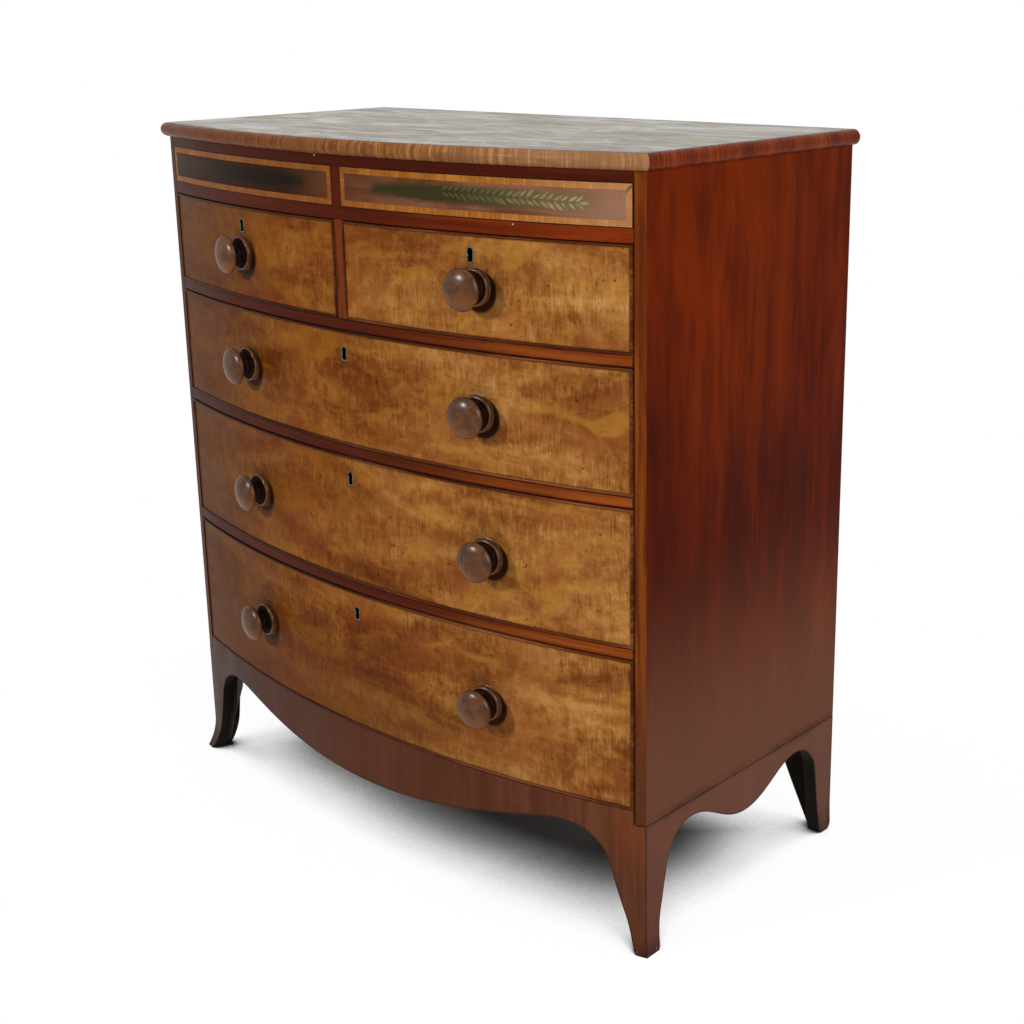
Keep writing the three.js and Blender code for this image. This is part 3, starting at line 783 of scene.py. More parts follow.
def veneer(name):
    """Figured mahogany: soft golden clouds that slope down to the right, small mottling and fine
    upright streaks, with a dark stain round each knob, a painted shadow of each knob below and to
    its right, and painted shade towards the left of the bow."""
    f = Finish(name)
    grain = f.grain()
    cloud = f.noise(f.turned(grain, 20, (4.5, 15, 8)), (1, 1, 1), 4, 0.6, 0.8)
    mottle = f.noise(grain, (62, 46, 40), 4, 0.62, 0.7, (4, 1, 0))
    fine = f.noise(grain, (420, 34, 60), 4, 0.65, 0.3, (1, 6, 2))
    dashes = f.noise(grain, (52, 300, 60), 3, 0.6, 0.2, (9, 3, 2))
    where = f.span(f.noise(grain, (7, 16, 9), 2, 0.5, 0.0, (2, 8, 4)), 0.42, 0.6)
    upright = f.times(f.about_zero(fine), f.math("MULTIPLY_ADD", where, 0.24, 0.13))
    level = f.times(f.about_zero(dashes), 0.05)
    curls = f.noise(f.turned(grain, -35, (70, 150, 60)), (1, 1, 1), 3, 0.6, 1.2, (5, 2, 7))
    flecks = f.noise(grain, (190, 150, 120), 3, 0.65, 0.6, (8, 5, 3))
    figure = f.total((flecks, 0.12), (cloud, 0.56), (mottle, 0.32))
    figure = f.math("ADD", figure, f.math("ADD", upright, level))
    for x, z, shift in VENEER_CLOUDS:
        spot = f.patch((x, bow_y(x), z), CLOUD_REACH, 0.1)
        figure = f.math("MULTIPLY_ADD", spot, shift, figure)
    tones = [(0.0, "#5c2e14"), (0.3, "#7c481e"), (0.6, "#9a6631"), (1.0, "#bc8a4e")]
    colour = f.ramp(f.span(figure, 0.27, 0.73), tones)
    red = f.noise(grain, (9, 16, 9), 5, 0.62, 0.9, (6, 6, 1))
    colour = f.mix(f.span(red, 0.46, 0.66, 0.0, 0.6), colour, "#8a4c24")
    gold = f.noise(grain, (10, 22, 9), 5, 0.62, 0.9, (1, 3, 8))
    colour = f.mix(f.span(gold, 0.50, 0.66, 0.0, 0.45), colour, "#b07c30")
    colour = f.mix(f.span(curls, 0.58, 0.72, 0.0, 0.4), colour, "#6a3414")
    pore = f.noise(grain, (480, 330, 300), 2, 0.5, 0.0, (3, 3, 3))
    pore_mask = f.span(pore, 0.66, 0.74, 0.0, 0.45)
    colour = f.mix(pore_mask, colour, "#43200c")
    speck = f.noise(grain, (120, 120, 120), 1, 0.5, 0.0, (7, 1, 9))
    colour = f.mix(f.span(speck, 0.73, 0.78, 0.0, 0.7), colour, "#3a1a0a")
    # A stain round each knob, and a painted shadow of its head below and to its right
    for reach, shift, core, share, tone in KNOB_STAIN_AND_SHADOW:
        colour = f.mix(f.times(knob_stain_and_shadow(f, reach, shift, core), share), colour, tone)
    # Painted shade: darker towards the left of the bow
    colour = f.washed(colour, "front_shade", "MULTIPLY")
    colour = f.washed(colour, "front")
    x, _, z = f.axes(f.place())
    low, left = LOW_FRONT_SPANS
    colour = f.mix(f.times(f.span(z, *low), f.span(x, *left, 0.1, 0.55)), colour, "#552c14")
    colour = f.mix(f.span(f.wear(), 0.6, 1.0, 0.0, 0.5), colour, "#40200e")
    shine = f.noise(grain, (12, 18, 12), 4, 0.6, 0.0, (5, 5, 5))
    rough = f.span(shine, 0.3, 0.7, 0.30, 0.44)
    bump = f.math("SUBTRACT", f.times(fine, 0.6), pore_mask)
    tint = (1.0, 0.75, 0.6, 1.0)
    return f.finish(colour, rough, bump, 0.10, specular_ior_level=0.026, specular_tint=tint)


def knob_stain_and_shadow(f, reach, shift, core):
    """1 on the wood next to each knob, fading out round it."""
    most = 0.0
    for node, x in knob_places().items():
        low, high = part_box(node)
        centre = (x + shift[0], bow_y(x), (low.z + high.z) / 2 + shift[1])
        most = f.math("MAXIMUM", most, f.patch(centre, (reach, reach, reach), core))
    return most


def top_polish(name):
    f = Finish(name)
    grain = f.grain()
    streak = f.noise(grain, (5, 60, 20), 5, 0.65, 0.6)
    cloud = f.noise(grain, (6, 15, 9), 5, 0.65, 1.0, (2, 2, 2))
    figure = f.total((streak, 0.5), (cloud, 0.5))
    colour = f.ramp(f.span(figure, 0.36, 0.64), ["#281e0e", "#4e3e22", "#6c5a38"])
    stain = f.noise(grain, (26, 110, 20), 4, 0.65, 0.5, (8, 3, 1))
    colour = f.mix(f.span(stain, 0.56, 0.68, 0.0, 0.8), colour, "#140c08")
    colour = f.mix(f.span(f.wear(), 0.2, 1.0, 0.0, 0.8), colour, "#2a1a10")
    haze = f.span(f.noise(grain, (9, 20, 9), 5, 0.7, 0.8, (1, 9, 3)), 0.32, 0.68, 0.24, 0.56)
    bump = f.noise(grain, (30, 300, 60), 4, 0.6)
    return f.finish(
        colour, haze, bump, 0.15, specular_ior_level=0.55, specular_tint=(1.0, 0.93, 0.82, 1.0),
        coat_weight=0.3, coat_roughness=0.25,
    )


def crossband(name, tones, strips, contrast, polish, rim_tone=None, tweak=None):
    """Veneer laid across an edge, in narrow strips that differ in tone. On the top's edge, a
    dark line runs along its upper side."""
    f = Finish(name)
    grain = f.grain()
    strip = f.noise(grain, (1, strips, 1), 2, 0.5)
    fine = f.noise(grain, (12, 330, 60), 3, 0.6, 0.1, (4, 4, 1))
    figure = f.total((strip, 0.45), (fine, 0.55))
    colour = f.ramp(f.span(figure, *contrast), tones)
    if tweak:
        colour = tweak(f, colour)
    if rim_tone:
        colour = f.mix(f.span(f.axes(grain)[0], *NOSE_LINE_SPAN, 0.0, 0.85), colour, rim_tone)
    rough = f.span(f.noise(grain, (60, 30, 30), 3, 0.6), 0.3, 0.7, 0.24, 0.38)
    tint = (1.0, 0.8, 0.7, 1.0)
    return f.finish(colour, rough, fine, 0.10, specular_ior_level=polish, specular_tint=tint)


def frieze_field(name):
    """The middle of a frieze panel, with a dark green band painted along it. On the left it
    fades towards the outer end, and on the right it is the ground of the leaves."""
    f = Finish(name)
    grain = f.grain()
    x, _, z = f.axes(f.place())
    out = f.size(x)
    streak = f.noise(grain, (6, 90, 30), 4, 0.6, 0.5)
    cloud = f.noise(grain, (8, 20, 20), 3, 0.6, 0.5, (2, 2, 2))
    figure = f.total((streak, 0.4), (cloud, 0.6))
    colour = f.ramp(f.span(figure, 0.34, 0.66), ["#54321e", "#6a4430", "#7e563e"])
    # Paler at the right end as painted light, darker towards the left as painted shade
    colour = f.washed(colour, "field")
    ragged = f.about_zero(f.noise(grain, (26, 70, 30), 4, 0.65))
    height = f.size(f.math("SUBTRACT", z, GREEN_LEVEL))
    height = f.math("MULTIPLY_ADD", ragged, GREEN_RAGGED[0], height)
    height = f.math("ADD", height, f.span(out, *GREEN_TAPER_SPAN, 0.0, GREEN_TAPER))
    across = f.span(height, *GREEN_EDGE_SPAN)
    along = f.math("MULTIPLY_ADD", ragged, GREEN_RAGGED[1], out)
    outer, left, inner = GREEN_END_SPANS
    fading = f.math("MAXIMUM", f.span(along, *outer), f.span(x, *left))
    ends = f.times(f.span(along, *inner), fading)
    tones = [(0.0, "#2a2c14"), (0.35, "#302c16"), (0.7, "#4a4226"), (1.0, "#6c5a3c")]
    green = f.ramp(f.span(out, *GREEN_PALE_SPAN), tones)
    colour = f.mix(f.times(f.times(across, ends), 0.92), colour, green)
    colour = f.washed(colour, "field_shade", "MULTIPLY")
    crack = f.noise(grain, (900, 3, 3), 1, 0.5)
    colour = f.mix(f.span(crack, 0.68, 0.75, 0.0, 0.4), colour, "#2c1810")
    rough = f.span(streak, 0.3, 0.7, 0.26, 0.38)
    tint = (1.0, 0.85, 0.75, 1.0)
    return f.finish(colour, rough, streak, 0.08, specular_ior_level=0.03, specular_tint=tint)


def leaf_paint(name):
    """Paint worn to the ground's green at the left, and paler towards the tip."""
    f = Finish(name)
    tones = [(0.0, "#3a3c1e"), (0.45, "#50502c"), (0.7, "#746c48"), (1.0, "#908462")]
    x = f.axes(f.place())[0]
    colour = f.ramp(f.span(x, SPRAY_START - SPRAY_TONE_LEAD, SPRAY_END), tones)
    mottle = f.noise(f.place(), (110, 110, 110), 3, 0.6)
    colour = f.mix(f.span(mottle, 0.40, 0.62, 0.0, 0.5), colour, "#4e4a2a")
    return f.finish(colour, 0.45, mottle, 0.2, specular_ior_level=0.1)


def turned_wood(name, tones, reflection_tone, coat):
    """Turned mahogany under old polish, paler and warmer on its lower half, where it shows a
    painted reflection of the wood below it.
    """
    f = Finish(name)
    grain = f.grain()
    ring = f.noise(grain, (60, 45, 45), 4, 0.6, 0.5)
    fine = f.noise(grain, (300, 160, 160), 3, 0.6)
    figure = f.total((ring, 0.7), (fine, 0.3))
    colour = f.ramp(f.span(figure, 0.32, 0.66), tones)
    low = f.span(f.axes(grain)[2], *LOW_REFLECTION_SPAN)
    colour = f.mix(f.times(low, f.span(ring, 0.3, 0.7, 0.3, 0.8)), colour, reflection_tone)
    grime_and_shade = f.span(f.noise(grain, (90, 30, 30), 3, 0.6, 0.0, (2, 5, 7)), 0.3, 0.7, 0.24, 0.34)
    return f.finish(
        colour, grime_and_shade, fine, 0.04, specular_ior_level=0.0, coat_weight=coat,
        coat_roughness=0.27, coat_ior=1.42,
    )


def softwood(name, along="grain"):
    f = Finish(name)
    turn = 90 if along == "y" else 0
    source = f.grain() if along == "grain" else f.turned(f.place(), turn, (1, 1, 1))
    rings = f.noise(source, (2.2, 75, 75), 4, 0.6, 0.8)
    fine = f.noise(source, (18, 700, 700), 3, 0.6, 0.1, (2, 2, 2))
    figure = f.total((rings, 0.7), (fine, 0.3))
    colour = f.ramp(f.span(figure, 0.34, 0.66), ["#8a6438", "#a98050", "#c09a68"])
    dust = f.noise(source, (8, 14, 14), 4, 0.6, 0.4, (4, 4, 4))
    colour = f.mix(f.span(dust, 0.45, 0.7, 0.0, 0.35), colour, "#4e3a26")
    rough = f.span(dust, 0.3, 0.7, 0.62, 0.8)
    return f.finish(colour, rough, fine, 0.35, specular_ior_level=0.3)


def metal(name, tones, roughness=(0.3, 0.5), metallic=0.9):
    f = Finish(name)
    tarnish = f.noise(f.place(), (240, 240, 240), 4, 0.6)
    colour = f.ramp(f.span(tarnish, 0.3, 0.7), tones)
    rough = f.span(tarnish, 0.3, 0.7, *roughness)
    return f.finish(colour, rough, tarnish, 0.1, metallic=metallic)


def nose_tones(f, colour):
    """Blotched, darker and redder towards the left as painted shade, and paler near the right end
    as painted light.
    """
    blotch = f.noise(f.place(), (24, 24, 90), 4, 0.62, 0.6, (3, 5, 1))
    colour = f.mix(f.span(blotch, 0.46, 0.62, 0.0, 0.55), colour, "#5e3824")
    return f.washed(colour, "nose")


def band_tones(f, colour):
    """Duller in patches, duller towards the left as painted shade, and paler near the right end as
    painted light.
    """
    dull = f.noise(f.place(), (22, 22, 60), 4, 0.6, 0.5)
    colour = f.mix(f.span(dull, 0.48, 0.62, 0.0, 0.45), colour, "#7c4a24")
    return f.washed(colour, "band")


def side_tones(f, colour):
    """The side is darkest along its front, more orange in its upper middle as a painted glow,
    darker in its middle as painted shade and browner low down, with a faint olive stain along the
    foot of the board."""
    _, y, z = f.axes(f.place())
    front = f.span(y, CORNER + SIDE_DARK_REACH, CORNER, 0.0, 0.55)
    colour = f.mix(f.times(front, f.span(z, *SIDE_DARK_SPAN)), colour, "#2c0b07")
    streak = f.noise(f.grain(), (4, 34, 34), 4, 0.6, 0.6, (5, 2, 8))
    warm = f.times(f.patch(*SIDE_GLOW), f.span(streak, 0.38, 0.60, 0.1, 0.42))
    colour = f.mix(warm, colour, "#8c3408")
    dull = f.times(f.patch(*SIDE_SHADE), f.span(streak, 0.60, 0.36, 0.3, 0.75))
    colour = f.mix(dull, colour, "#3c140c")
    return seam_stain(f, f.washed(colour, "side"), z)


def seam_stain(f, colour, z):
    """An uneven stain along the seam between the sides and the base."""
    drift = f.noise(f.place(), (14, 14, 30), 4, 0.65, 0.0, (3, 1, 2))
    level = f.math("MULTIPLY_ADD", f.about_zero(drift), SEAM_DRIFT, z)
    seam = f.span(f.size(f.math("SUBTRACT", level, SEAM_LEVEL)), *SEAM_SPAN)
    return f.mix(f.times(seam, f.span(drift, 0.4, 0.6, 0.1, 0.45)), colour, "#2c2214")


def base_tones(f, colour):
    """Redder at the right hand foot, paler and stained at the sides, scuffed at the toes, and
    darker just above the floor as painted shade.
    """
    x, _, z = f.axes(f.place())
    right, up = RED_FOOT_SPANS
    ends = f.times(f.span(x, *right), f.span(z, *up))
    colour = f.mix(f.times(ends, 0.5), colour, "#743a1c")
    low = f.math("MAXIMUM", f.math("MULTIPLY_ADD", z, -1 / SPLAY_HEIGHT, 1.0), 0.0)
    lean = f.times(f.times(low, low), SPLAY)
    at_side = f.span(f.math("SUBTRACT", f.size(x), lean), *SIDE_EDGE_SPAN)
    colour = f.mix(f.times(at_side, 0.65), colour, "#6e4636")
    colour = f.mix(at_side, colour, seam_stain(f, colour, z))
    scuff = f.span(f.noise(f.place(), (260, 260, 120), 4, 0.65), 0.56, 0.66)
    toe = f.times(f.span(z, *SCUFF_SPAN), scuff)
    # Painted shade: darker just above the floor
    colour = f.washed(colour, "toe")
    return f.mix(f.times(toe, 0.6), colour, "#a08a70")


def stile_line(f, colour):
    """A dark line along the drawers."""
    inner = f.span(f.size(f.axes(f.place())[0]), *STILE_LINE_SPAN)
    return f.mix(f.times(inner, 0.85), colour, "#220d06")


def pale_chips(f, colour):
    for x, level in CHIPS:
        chip = f.patch((x, bow_y(x), level), CHIP_REACH, 0.4)
        colour = f.mix(chip, colour, "#c8b8a8")
    return colour


def make_materials():
    return {
        "top": top_polish("polished_top"),
        "edge": crossband(
            "top_edge_band",
            [(0.0, "#643a1c"), (0.35, "#7e4e26"), (0.7, "#966434"), (1.0, "#b0804e")],
            130, (0.36, 0.64), 0.04, "#3a2010", nose_tones,
        ),
        "side_edge": crossband(
            "top_side_edge_band", ["#3c1408", "#6a240a", "#944010"],
            26, (0.32, 0.66), 0.05, "#2a0f08",
        ),
        "side": wood(
            "side_mahogany",
            [(0.0, "#461306"), (0.4, "#5c1b07"), (0.75, "#6c2308"), (1.0, "#80320c")],
            clouds=(4, 11), streaks=(5, 50), contrast=(0.30, 0.70), roughness=(0.30, 0.44),
            polish=0.02, tint=(1.0, 0.45, 0.3, 1.0), tweak=side_tones,
        ),
        "stile": wood(
            "stile_mahogany", ["#50200c", "#6a300e", "#7e4216"],
            clouds=(5, 40), washes=["stile"], tweak=stile_line,
        ),
        "rail": wood(
            "rail_mahogany", ["#5c240e", "#783612", "#8e481a"],
            clouds=(2.5, 30), edge_tone="#1e0a05", washes=["rail"],
        ),
        "divider": wood("divider_mahogany", ["#4a1e0e", "#642e12", "#7c4018"], clouds=(5, 40)),
        "frieze_rail": wood(
            "frieze_rail_mahogany", ["#602008", "#7a300e", "#904414"],
            clouds=(2.5, 30), washes=["shade_under_top", "rail"], tweak=pale_chips,
        ),
        "front": veneer("front_veneer"),
        "bead": wood(
            "bead_mahogany", ["#421c0c", "#5e3016", "#845030"],
            roughness=(0.2, 0.32), polish=0.04, washes=["bead"],
        ),
        "base": wood(
            "base_mahogany", ["#482416", "#56301e", "#683c28"],
            clouds=(3, 12), streaks=(5, 90), contrast=(0.28, 0.72), roughness=(0.34, 0.48),
            polish=0.07, edge_tone="#22140e", washes=["base"], tweak=base_tones,
        ),
        # Near black on the insides and hidden edges of the base, its corner blocks and back
        # brackets: painted shade
        "grime_and_shade": wood(
            "painted_shade_inside", ["#0e0c09", "#171410", "#231c14"], roughness=(0.6, 0.8), polish=0.1,
        ),
        "field": frieze_field("frieze_field"),
        "band": crossband(
            "frieze_band",
            [(0.0, "#82481a"), (0.5, "#9c6022"), (0.8, "#ae742c"), (1.0, "#d0a860")],
            40, (0.26, 0.74), 0.04, tweak=band_tones,
        ),
        "string": wood("ebony_line", ["#160a08", "#2a1410"], polish=0.1),
        "paint": leaf_paint("leaf_paint"),
        "knob": turned_wood("knob_wood", ["#3a1e0a", "#4c2a10", "#5e3816"], "#713e10", 0.65),
        # Near black: painted shade in the hollow between a knob's rose and its head
        "knob_hollow": turned_wood("knob_hollow", ["#120a07", "#2a1710"], "#2a1710", 0.05),
        "pine": softwood("dry_pine"),
        "pine_x": softwood("pine_across", "x"),
        "pine_y": softwood("pine_lengthwise", "y"),
        "brass": metal("aged_brass", ["#241f12", "#3c341c", "#5a4e2c"]),
        "lining": metal("keyhole_lining", ["#3a3c2c", "#5c5e48", "#7e8068"], (0.35, 0.5), 0.5),
        # Near black: painted shade inside the keyhole and on the hidden edges of the drawer fronts
        "dark": wood("keyhole_inside", ["#050403", "#0c0908"], polish=0.05),
        "iron": metal("dark_iron", ["#1c1a18", "#3c3632"], (0.4, 0.6)),
        "core": wood("core_wood", ["#5a3018", "#754626", "#8a5a34"], polish=0.2),
    }


# Case

def top_outline(amount):
    """The top board's edge, from the left end of the bow round to the back left corner."""
    edge = HALF_WIDTH + TOP_OVERHANG - amount
    radius = BOW_RADIUS + TOP_OVERHANG - amount
    angles = np.linspace(-1, 1, TOP_BOW_STEPS + 1) * math.asin(edge / radius)
    front = np.stack([radius * np.sin(angles), BOW_CENTRE - radius * np.cos(angles)], axis=1)
    side = np.linspace(front[-1, 1], BACK, TOP_SIDE_STEPS + 1)[1:]
    right = np.stack([np.full(TOP_SIDE_STEPS, edge), side], axis=1)
    left = np.stack([np.full(TOP_SIDE_STEPS, -edge), side[::-1]], axis=1)
    return np.concatenate([front, right, left])


def top_board(materials):
    """A slab with a half round edge, whose wood coordinate runs along its outline."""
    low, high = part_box("top_board")
    nose = (high.z - low.z) / 2
    surface = Surface()
    grain = Shares()
    starts = []
    lengths = np.linalg.norm(np.diff(top_outline(0), axis=0), axis=1)
    run = np.concatenate([[0], np.cumsum(lengths)])
    for angle in np.radians(np.linspace(-90, 90, NOSE_STEPS + 1)):
        outline = top_outline(nose * (1 - math.cos(angle)))
        z = low.z + nose * (1 + math.sin(angle))
        start = surface.add_points(np.column_stack([outline, np.full(len(outline), z)]), 1.0)
        across = np.full(len(run), nose * angle)
        grain.note(start, np.stack([across, run, np.zeros(len(run))], axis=1))
        starts.append(start)
    count = len(outline)
    for low_ring, high_ring in zip(starts, starts[1:]):
        for i in range(count):
            j = (i + 1) % count
            face = (low_ring + i, low_ring + j, high_ring + j, high_ring + i)
            surface.add_faces([face], grain, 1 if i < TOP_BOW_STEPS else 3)
    for start, z, slot in ((starts[-1], high.z, 0), (starts[0], low.z, 2)):
        outline = top_outline(nose)
        extra, triangles = filled([outline], TOP_STEPS)
        more = surface.add_points(np.column_stack([extra, np.full(len(extra), z)]))
        flat = Shares()
        for base, points in ((start, outline), (more, extra)):
            flat.note(base, np.column_stack([points, np.full(len(points), z)]))
        ids = np.concatenate([start + np.arange(len(outline)), more + np.arange(len(extra))])
        surface.add_faces(ids[triangles], flat, slot)
    finishes = [materials[key] for key in ("top", "edge", "rail", "side_edge")]
    piece("top_slab", surface, finishes, "case", ["top_board"])


def add_post(surface, plan, low, high, seed):
    """An upright board from its outline in plan, with rounded corners and eased ends."""
    corners = []
    for before, corner, after in zip(np.roll(plan, 1, axis=0), plan, np.roll(plan, -1, axis=0)):
        back = (before - corner) / np.linalg.norm(before - corner)
        on = (after - corner) / np.linalg.norm(after - corner)
        half = math.acos(np.clip(np.dot(back, on), -1, 1)) / 2
        reach = POST_ROUND / math.tan(half)
        corners.append(bend(corner + back * reach, corner, corner + on * reach, 3))
    add_plate(
        surface, [divided(np.concatenate(corners), POST_STEP)],
        lambda u, v, d: (u, v, high - d), high - low,
        arris=POST_ARRIS, steps=POST_STEPS, along="d", seed=seed, rim=0,
    )


def sides(materials):
    for name, side in (("left", -1), ("right", 1)):
        node = f"side_{name}"
        low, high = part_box(node)
        plan = [
            (side * HALF_OPENING, bow_y(HALF_OPENING)),
            (side * HALF_WIDTH, CORNER),
            (side * HALF_WIDTH, BACK),
            (side * HALF_OPENING, BACK),
        ]
        surface = Surface()
        add_post(surface, np.array(plan[::side]), low.z, high.z, 3 + side)
        points = np.array(surface.points)
        for number, face in enumerate(surface.faces):
            if points[face, 1].max() < CORNER + POST_ROUND / 2:
                surface.slots[number] = 1
        finishes = [materials["side"], materials["stile"]]
        piece(f"{node}_board", surface, finishes, "case", [node])


def rails(materials):
    for number, place in enumerate(("upper", "middle", "lower")):
        node = f"rail_{place}"
        low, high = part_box(node)
        surface = Surface()
        loop = divided(rectangle(low.x, high.x, low.z, high.z))
        add_plate(surface, [loop], on_bow, RAIL_DEPTH, seed=number, rim=RAIL_RIM)
        piece(f"{node}_bar", surface, [materials["rail"]], "case", [node])


def divider(materials):
    low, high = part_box("drawer_divider")
    front = [(low.x, bow_y(low.x)), (high.x, bow_y(high.x))]
    surface = Surface()
    add_post(surface, np.array([*front, (high.x, high.y), (low.x, high.y)]), low.z, high.z, 8)
    finishes = [materials["divider"]]
    piece("divider_post", surface, finishes, "case", ["drawer_divider"])


def frieze(materials):
    low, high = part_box("frieze_frame")
    panel_low, panel_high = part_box("frieze_panel_right")
    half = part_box("drawer_divider")[1].x
    surface = Surface()
    bars = (
        (low.x, high.x, low.z, panel_low.z - PANEL_GAP, "u"),
        (low.x, high.x, panel_high.z + PANEL_GAP, high.z, "u"),
        (-half, half, panel_low.z - PANEL_GAP, panel_high.z + PANEL_GAP, "v"),
    )
    for number, (left, right, bottom, top, along) in enumerate(bars):
        loop = divided(rectangle(left, right, bottom, top))
        add_plate(surface, [loop], on_bow, RAIL_DEPTH, along=along, seed=4 + number, rim=0)
    finishes = [materials["frieze_rail"]]
    piece("frieze_bars", surface, finishes, "case", ["frieze_frame"])
    frieze_panel(materials, "left", 1)
    frieze_panel(materials, "right", 3)
    spray(materials, (panel_low.z + panel_high.z) / 2)


def frieze_panel(materials, name, seed):
    node = f"frieze_panel_{name}"
    low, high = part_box(node)
    outer = rectangle(low.x, high.x, low.z, high.z)
    line = inset(outer, STRING_WIDTH)
    inner = inset(line, BAND_WIDTH)
    surface = Surface()

    def add(loops, **options):
        add_plate(surface, loops, on_bow, PANEL_DEPTH, PANEL_ARRIS, rim=0, **options)

    add([divided(outer), divided(line)[::-1]], slot=2)
    for i in range(4):
        j = (i + 1) % 4
        band = divided(np.array([line[i], line[j], inner[j], inner[i]]))
        add([band], along="v" if i % 2 == 0 else "u", seed=i, slot=1)
    add([divided(inner)], seed=seed)
    finishes = [materials["field"], materials["band"], materials["string"]]
    piece(f"{node}_veneer", surface, finishes, "case", [node])


def spray(materials, level):
    """A laurel spray painted on the right frieze panel: paired leaves that point to the right,
    close together, to a pointed tip."""
    random = np.random.default_rng(11)
    leaves = Surface()

    def leaf(x, z, angle, length):
        shares = np.linspace(0, 1, 7)
        widths = LEAF_SHARE * length * np.sin(math.pi * shares ** 0.9)
        outline = np.concatenate([
            np.stack([shares * length, -widths / 2], axis=1),
            np.stack([shares[-2:0:-1] * length, widths[-2:0:-1] / 2], axis=1),
        ])
        cos, sin = math.cos(angle), math.sin(angle)
        points = outline @ np.array([[cos, sin], [-sin, cos]]) + (x, z)
        add_plate(
            leaves, [points], on_bow_paint, PAINT_DEPTH, PAINT_ARRIS, SMALL_STEPS,
            seed=random.uniform(0, 4), rim=0,
        )

    for share in np.linspace(0, 1, LEAF_PAIRS):
        x = SPRAY_START + (SPRAY_END - SPRAY_START) * share
        stem = level + SPRAY_RISE * (1 - share)
        for up in (-1, 1):
            angle = up * random.uniform(0.48, 0.76)
            length = LEAF_LENGTH * random.uniform(0.8, 1.1)
            leaf(x, stem + LEAF_OFFSET * up, angle, length)
    leaf(SPRAY_END + SPRAY_TIP, level, 0.0, LEAF_LENGTH)
    piece("frieze_spray", leaves, [materials["paint"]], "case")


# Base

def corner_ease(loop):
    """1 along an outline, and 0 on the mitred ends of the front."""
    edge = np.abs(loop[:, 0]) - splay_at(loop[:, 1])
    return np.where((edge > HALF_WIDTH - CLOSE) & (loop[:, 1] < LEG_HEIGHT + CLOSE), 0.0, 1.0)


def side_ease(loop):
    """1 along an outline, and 0 on the mitred end of a side."""
    return np.where(loop[:, 0] + splay_at(loop[:, 1]) < CLOSE, 0.0, 1.0)


def front_base(materials):
    """The apron with the fronts of its two feet."""
    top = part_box("apron")[1].z
    arch = bezier(FRONT_ARCH_SHARES, HALF_WIDTH, LEG_HEIGHT)[::-1]
    heights = np.linspace(0, SPLAY_HEIGHT, 10)
    right = np.stack([HALF_WIDTH + splay_at(heights), heights], axis=1)
    left = (right * (-1, 1))[::-1]
    shoulder = np.array([(HALF_WIDTH, LEG_HEIGHT), (HALF_OPENING, LEG_HEIGHT), (HALF_OPENING, top)])
    arch = arch[arch[:, 1] > 1.1 * TOE_ROUND]
    corner = FRONT_ARCH_SHARES[0][0] * HALF_WIDTH
    start = np.array([corner - 0.45 * TOE_ROUND, TOE_ROUND])
    toe = bend(start, np.array([corner, 0]), np.array([corner + 0.6 * TOE_ROUND, 0]), 5)
    loop = divided(np.concatenate([
        left[-1:], (toe * (-1, 1))[::-1], arch, toe, right,
        shoulder, (shoulder * (-1, 1))[::-1], left[:-1],
    ]))
    surface = Surface()
    add_plate(
        surface, [loop], on_front_base, APRON_THICKNESS, steps=APRON_STEPS, along="v", seed=2,
        hidden_slot=1, rim=FACE_RIM, eased=corner_ease,
    )
    replaced = ["apron", "foot_front_left", "foot_front_right"]
    finishes = [materials["base"], materials["grime_and_shade"]]
    piece("base_front", surface, finishes, "case", replaced)


def side_bases(materials):
    arch = bezier(SIDE_ARCH_SHARES, CASE_DEPTH, LEG_HEIGHT)[::-1][1:-1]
    rise = SIDE_TOE_ROUND
    arch = arch[arch[:, 1] > 1.3 * rise]
    heights = np.linspace(0, SPLAY_HEIGHT, 10)
    front = np.stack([-splay_at(heights), heights], axis=1)[::-1]
    toe_front = SIDE_ARCH_SHARES[-1][0] * CASE_DEPTH
    toe_back = SIDE_ARCH_SHARES[0][0] * CASE_DEPTH
    heel = BACK_TOE_ROUND
    loop = divided(np.concatenate([
        front[-1:],
        [(toe_front - rise / 2, 0.0), (toe_front + rise / 4, rise)],
        arch,
        [(toe_back - rise / 8, rise), (toe_back + rise, 0.0)],
        [(CASE_DEPTH - heel, 0.0), (CASE_DEPTH - 0.3 * heel, 0.3 * heel), (CASE_DEPTH, heel)],
        [(CASE_DEPTH, LEG_HEIGHT), (0.0, LEG_HEIGHT)],
        front[:-1],
    ]))
    finishes = [materials["base"], materials["grime_and_shade"]]
    for name, side in (("left", -1), ("right", 1)):
        surface = Surface()
        add_plate(
            surface, [loop], on_side_base(side), APRON_THICKNESS, steps=SKIRT_STEPS, along="v",
            seed=5 + side, hidden_slot=1, rim=FACE_RIM, eased=side_ease,
        )
        replaced = [f"side_skirt_{name}", f"foot_front_{name}", f"foot_back_{name}"]
        piece(f"base_side_{name}", surface, finishes, "case", replaced)
        corner_block(materials, f"foot_front_{name}", side)
        back_bracket(materials, f"foot_back_{name}", side)


